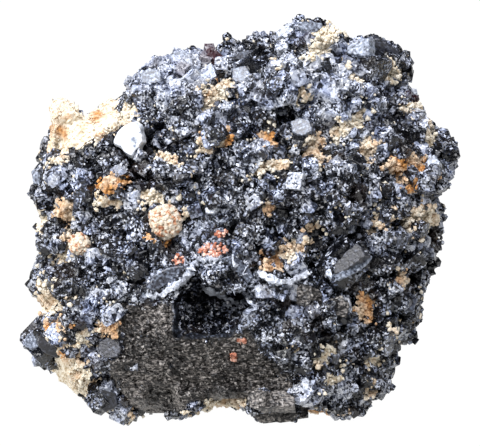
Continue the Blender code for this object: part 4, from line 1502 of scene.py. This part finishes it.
class SPECIMEN_OT_flat_faces(bpy.types.Operator):
    """Adds the crystals whose flat faces stand out, each with its outline and turn"""

    bl_idname = "specimen.flat_faces"
    bl_label = "Flat faces"

    def execute(self, context):
        dice = np.random.default_rng(91)
        finishes = (
            flat_material("perovskite_flat_growth_faces"), fracture_material("perovskite_flat_broken_faces")
        )
        for dull, name in ((0, "flat_growth_faces"), (1, "flat_broken_faces")):
            corners, faces, tones = [], [], []
            for kind, right, up, out, tone, outline in FLAT_FACES:
                if kind != dull:
                    continue
                tilt = Vector((math.tan(math.radians(right)), math.tan(math.radians(up)), 1.0)).normalized()
                points, sides = slab(uneven_outline(outline, dice), FACE_TURN @ tilt, out, FACE_THICKNESS)
                faces += [[len(corners) + i for i in side] for side in sides]
                corners += points
                tones += [tone] * len(points)
            mesh = bpy.data.meshes.new(name)
            mesh.from_pydata(corners, [], faces)
            keep_number(mesh, "tone", tones)
            made = bevelled_piece(context, mesh)
            finish_piece(made, finishes[dull])
            self.edge(made, dice)
        return {"FINISHED"}

    def edge(self, made, dice):
        """Sets small crystals along the edges of the flat faces."""
        points, normals = surface_samples([made.data], EDGE_TRIES, dice)
        facing = normals @ np.array(FACE_OUT)
        sizes = drawn_sizes(0.25 * MM, 0.75 * MM, 1.6, len(points), dice)
        kept = (facing < 0.5) & (facing > -0.2) & (dice.random(len(points)) < 0.25) & inside_box(points, sizes)
        kept &= depth_outside(points) > 0.15
        points, normals, sizes = sown(points[kept], normals[kept], sizes[kept], 0.42)
        forms = crystal_forms()
        kinds, turns = kinds_and_turns(forms, normals, 40.0, dice)
        tones = np.clip(dice.random(len(points)) ** 1.3 * 0.9 + tone_and_painted_light(points), 0.0, 1.0)
        places = points - normals * sizes[:, None] * 0.1
        crystals = joined_copies(f"{made.name}_edges", forms, kinds, places, turns, sizes, {"tone": tones})
        finish_piece(crystals, perovskite_material("perovskite_edge_crystals", "tone"))


class SPECIMEN_OT_broken_sheet(bpy.types.Operator):
    """Runs the large crystal's broken face on over the crust below it"""

    bl_idname = "specimen.broken_sheet"
    bl_label = "Broken sheet"

    def execute(self, context):
        outline = np.array(BROKEN_FACE)
        low, high = outline.min(0) - 2, outline.max(0) + 2
        across = np.arange(low[0], high[0], SHEET_PIXELS)
        down = np.arange(low[1], high[1], SHEET_PIXELS)
        depths = np.full((len(down), len(across)), np.nan)
        for j, py in enumerate(down):
            for i, px in enumerate(across):
                seen = seen_at(px, py)
                if seen is not None:
                    depths[j, i] = face_places([seen[0]])[0][2] / MM
        depths = self.evened(depths, 3, np.nanmedian)
        depths = self.evened(depths, 2, np.nanmean)
        inside = np.array([[photo_place(px, py) for px in across] for py in down]).reshape(-1, 2)
        reach = depth_inside(inside, BROKEN_OUTLINE).reshape(depths.shape)
        out = depths + 0.35 * step(reach, 0.0, 1.2) - 0.9 * (1.0 - step(reach, -0.3, 0.8))
        shrink = 1.0 - out * MM / CAMERA_DISTANCE
        flat = np.stack([inside[:, 0] * shrink.ravel(), inside[:, 1] * shrink.ravel(), out.ravel()], axis=1)
        points = flat * MM @ np.array(FACE_TURN).T + np.array(FACE_CENTRE)
        known = ~np.isnan(points).any(1) & (reach.ravel() > -0.3)
        points[~known] = 0.0
        rough_out = ledges(points, flat) + faceted(points, 0.9 * MM, 0.7, 0.12 * MM, 9) / MM
        points += (rough_out * MM)[:, None] * np.array(FACE_OUT)
        wide = len(across)
        cells = [
            [j * wide + i, (j + 1) * wide + i, (j + 1) * wide + i + 1, j * wide + i + 1]
            for j in range(len(down) - 1)
            for i in range(wide - 1)
        ]
        cells = [cell for cell in cells if all(known[k] for k in cell)]
        backs = points - 1.0 * MM * np.array(FACE_OUT)
        count = len(points)
        sides = {}
        for cell in cells:
            for first, second in zip(cell, cell[1:] + cell[:1]):
                if (second, first) in sides:
                    del sides[(second, first)]
                else:
                    sides[(first, second)] = True
        faces = cells + [[k + count for k in reversed(cell)] for cell in cells]
        faces += [[second, first, first + count, second + count] for first, second in sides]
        used = sorted({k for face in faces for k in face})
        index = {k: n for n, k in enumerate(used)}
        corners = np.concatenate([points, backs])[used]
        mesh = bpy.data.meshes.new("broken_face")
        mesh.from_pydata(corners.tolist(), [], [[index[k] for k in face] for face in faces])
        made = closed_piece(context, mesh)
        finish_piece(made, fracture_material("perovskite_broken_face"))
        return {"FINISHED"}

    def evened(self, depths, reach, mean):
        """The depths, each replaced by the mean or median of those around it."""
        padded = np.pad(depths, reach, mode="edge")
        high, wide = depths.shape
        span = range(2 * reach + 1)
        around = np.stack([padded[j : j + high, i : i + wide] for j in span for i in span])
        return mean(around, axis=0)


class SPECIMEN_OT_rust_grains(bpy.types.Operator):
    """Strews orange-red iron oxide grains in their spots"""

    bl_idname = "specimen.rust_grains"
    bl_label = "Rust grains"

    def execute(self, context):
        dice = np.random.default_rng(61)
        meshes = [bpy.data.objects[name].data for name in ("broken_crystal", "crust_rock", "broken_face")]
        points, normals = surface_samples(meshes, RUST_TRIES, dice)
        places = face_places(points)
        facing = normals @ np.array(FACE_TURN)
        sizes = drawn_sizes(0.24 * MM, 0.60 * MM, 1.2, len(points), dice)
        kept = (spot_share(places, RUST_SPOTS) > 0.3) & (facing[:, 2] > 0.0) & (places[:, 2] > 8.0 * MM)
        points, normals, sizes = sown(points[kept], normals[kept], sizes[kept], 0.26)
        forms = [grain_form(0.34, 1, dice) for _ in range(5)]
        kinds, turns = kinds_and_turns(forms, normals, 60.0, dice)
        places = points + normals * 0.30 * MM
        shades = dice.random(len(points))
        made = joined_copies("rust_grains", forms, kinds, places, turns, sizes * 1.3, {"shade": shades})
        finish_piece(made, rust_material("iron_oxide_grains"))
        return {"FINISHED"}


def in_pocket(places, facing, margin):
    """Whether each place is in the pocket: within its mouth, and below its lip or turned aside."""
    within = depth_inside(places, POCKET_MOUTH) > -margin
    return within & ((places[:, 2] < POCKET_LIP) | (facing[:, 2] < 0.45))


def sugar_share(places):
    """How much of the sugary growth covers a place on the large crystal: all over its top, and its left
    shoulder."""
    top = step(places[:, 1] - 0.35 * (places[:, 0] + 4.0), -9.2, -7.8)
    shoulder = step(places[:, 1] - 0.1 * (places[:, 0] + 17.0), -12.4, -11.0) * step(-places[:, 0], 8.6, 9.6)
    right = step(places[:, 0] + 0.6 * (places[:, 1] + 18.0), 2.6, 3.8)
    return np.maximum(np.maximum(top, shoulder), right * 0.6)


class SPECIMEN_OT_matrix_rock(bpy.types.Operator):
    """Roughens the matrix into granular rock, and scatters dark crystals over it"""

    bl_idname = "specimen.matrix_rock"
    bl_label = "Matrix rock"

    def execute(self, context):
        made = detailed_copy("matrix", "matrix_rock")
        points, normals = vertex_rows(made.data)
        lift = 0.6 * rough(points, 3.6 * MM, 1.0) + 0.4 * rough(points, 1.4 * MM, 2.0)
        lift += faceted(points, 1.3 * MM, 0.5, 0.2 * MM, 5) / MM + 0.2 * rough(points, 0.7 * MM, 3.0)
        calm = 1.0 - 0.45 * spot_share(face_places(points), CLEAR_LUMPS) * (normals[:, 1] < 0.5)
        lift = (lift * calm - 0.25) * step(points[:, 2], 0.2 * MM, 1.6 * MM)
        reshape(made.data, points + normals * lift[:, None] * MM)
        made.data.shade_flat()
        _, stain = patch_share(points)
        keep_number(made.data, "stain", stain)
        finish_piece(made, carbonate_material("carbonate_matrix", "stain"))
        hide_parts("matrix")

        dice = np.random.default_rng(31)
        points, normals = outside_samples(PALE_NODES, MATRIX_TRIES, dice)
        share, _ = patch_share(points)
        near = np.array([DARK_SOLIDS.find_nearest(Vector(point))[3] for point in points])
        clumps = rough(points, 6.0 * MM, 4.0)
        chance = 0.75 * (1.0 - step(near, 0.5 * MM, 3.5 * MM)) + step(clumps, 0.0, 0.35) * 0.5 + 0.03
        sizes = drawn_sizes(0.5 * MM, 2.4 * MM, 1.6, len(points), dice)
        clear = spot_share(face_places(points), CLEAR_LUMPS) * (normals[:, 1] < 0.35)
        kept = (dice.random(len(points)) < chance) & inside_box(points, sizes) & (share < 0.15) & (clear < 0.4)
        points, normals, sizes = points[kept], normals[kept], sizes[kept]
        points, normals, sizes = sown(points, normals, sizes, 0.38)
        forms = crystal_forms()
        kinds, turns = kinds_and_turns(forms, normals, 40.0, dice)
        tones = np.clip(dice.random(len(points)) ** 1.6 + tone_and_painted_light(points), 0.0, 1.0)
        places = points - normals * sizes[:, None] * 0.2
        dark = joined_copies("matrix_crystals", forms, kinds, places, turns, sizes, {"tone": tones})
        finish_piece(dark, perovskite_material("perovskite_matrix_crystals", "tone"))
        return {"FINISHED"}


class SPECIMEN_OT_cleaved_plate(bpy.types.Operator):
    """Makes the bright cleaved plate, with its broken outline, in place of its plain block"""

    bl_idname = "specimen.cleaved_plate"
    bl_label = "Cleaved plate"

    def execute(self, context):
        tilt = Vector((-0.12, 0.06, 1.0)).normalized()
        outline = uneven_outline(PLATE_OUTLINE, np.random.default_rng(95))
        corners, faces = slab(outline, FACE_TURN @ tilt, PLATE_RISE / MM, PLATE_THICKNESS)
        mesh = bpy.data.meshes.new("cleaved_plate")
        mesh.from_pydata(corners, [], faces)
        made = bevelled_piece(context, mesh)
        finish_piece(made, cleavage_material("perovskite_cleavage"))
        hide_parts("bright_plate")
        return {"FINISHED"}


class SPECIMEN_OT_nodules(bpy.types.Operator):
    """Makes the knobbly surface of the pale nodule and the cream grain"""

    bl_idname = "specimen.nodules"
    bl_label = "Nodules"

    def execute(self, context):
        finish = nodule_material("iron_speckled_carbonate", "shade")
        for solid, name in (("pale_nodule", "speckled_nodule"), ("cream_grain", "stained_grain")):
            made = detailed_copy(solid, name)
            points, normals = vertex_rows(made.data)
            knobs = rough(points, 0.62 * MM, 2.0) * 0.24 + rough(points, 0.3 * MM, 5.0) * 0.1
            reshape(made.data, points + normals * (knobs - 0.1)[:, None] * MM)
            made.data.shade_flat()
            finish_piece(made, finish)
            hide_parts(solid)
            dice = np.random.default_rng(71)
            points, normals = surface_samples([made.data], KNOB_TRIES, dice)
            sizes = drawn_sizes(0.34 * MM, 0.72 * MM, 1.2, len(points), dice)
            points, normals, sizes = sown(points, normals, sizes, 0.40)
            forms = [grain_form(0.2, 2, dice) for _ in range(4)]
            kinds, turns = kinds_and_turns(forms, normals, 60.0, dice)
            grains = joined_copies(
                f"{name}_knobs", forms, kinds, points, turns, sizes * 1.2, {"shade": dice.random(len(points))}
            )
            finish_piece(grains, finish)
        return {"FINISHED"}


class SPECIMEN_OT_marked_crystals(bpy.types.Operator):
    """Adds the crystals that stand out in the photograph, each turned as bright as it shows there"""

    bl_idname = "specimen.marked_crystals"
    bl_label = "Marked crystals"

    def execute(self, context):
        dice = np.random.default_rng(41)
        towards_eye = np.array(FACE_OUT)
        towards_light = np.array((KEY_PLACE - FACE_CENTRE).normalized())
        glint = towards_eye + towards_light
        glint /= np.linalg.norm(glint)
        points, tops, sizes, tones = [], [], [], []
        for across, down, size, bright in MARKED_CRYSTALS:
            seen = seen_at(across, down)
            if seen is None:
                continue
            share = step(np.array(bright), 0.15, 0.8)
            top = share * glint + (1.0 - share) * (towards_eye + np.array(seen[1])) * 0.5
            points.append(np.array(seen[0]) - np.array(seen[1]) * size * 0.22 * MM)
            tops.append(top / np.linalg.norm(top))
            sizes.append(size * 0.85 * MM)
            # Their tone is the same brightness: partly their own shade, partly painted reflection.
            tones.append(bright)
        forms = crystal_forms()
        kinds = dice.choice([0, 1, 2, 5], len(points))
        turns = turns_facing(np.array(tops), math.radians(4.0), dice)
        made = joined_copies(
            "marked_crystals", forms, kinds, np.array(points), turns, np.array(sizes), {"tone": np.array(tones)}
        )
        finish_piece(made, perovskite_material("perovskite_marked_crystals", "tone"))
        return {"FINISHED"}


OPERATORS = (
    SPECIMEN_OT_stage,
    SPECIMEN_OT_solids,
    SPECIMEN_OT_large_crystal,
    SPECIMEN_OT_matrix_rock,
    SPECIMEN_OT_cleaved_plate,
    SPECIMEN_OT_nodules,
    SPECIMEN_OT_crust_rock,
    SPECIMEN_OT_crust_crystals,
    SPECIMEN_OT_broken_sheet,
    SPECIMEN_OT_fins,
    SPECIMEN_OT_flat_faces,
    SPECIMEN_OT_rust_grains,
    SPECIMEN_OT_marked_crystals,
    SPECIMEN_OT_cream_grains,
)


class SPECIMEN_PT_panel(bpy.types.Panel):
    """Lists the specimen's operators"""

    bl_idname = "SPECIMEN_PT_panel"
    bl_label = "Specimen"
    bl_space_type = "VIEW_3D"
    bl_region_type = "UI"
    bl_category = "Specimen"

    def draw(self, context):
        for name in SpecimenLooks.__annotations__:
            self.layout.prop(context.scene.specimen_looks, name)
        for operator in OPERATORS:
            self.layout.operator(operator.bl_idname)


CLASSES = (SpecimenLooks,) + OPERATORS + (SPECIMEN_PT_panel,)


def register():
    for part in CLASSES:
        bpy.utils.register_class(part)
    bpy.types.Scene.specimen_looks = PointerProperty(type=SpecimenLooks)


def unregister():
    del bpy.types.Scene.specimen_looks
    for part in reversed(CLASSES):
        bpy.utils.unregister_class(part)


def main():
    register()
    bpy.ops.specimen.stage()
    bpy.ops.specimen.solids()
    bpy.ops.specimen.large_crystal()
    bpy.ops.specimen.matrix_rock()
    bpy.ops.specimen.cleaved_plate()
    bpy.ops.specimen.nodules()
    bpy.ops.specimen.crust_rock()
    bpy.ops.specimen.crust_crystals()
    bpy.ops.specimen.broken_sheet()
    bpy.ops.specimen.fins()
    bpy.ops.specimen.flat_faces()
    bpy.ops.specimen.rust_grains()
    bpy.ops.specimen.marked_crystals()
    bpy.ops.specimen.cream_grains()


if __name__ == "__main__":
    main()
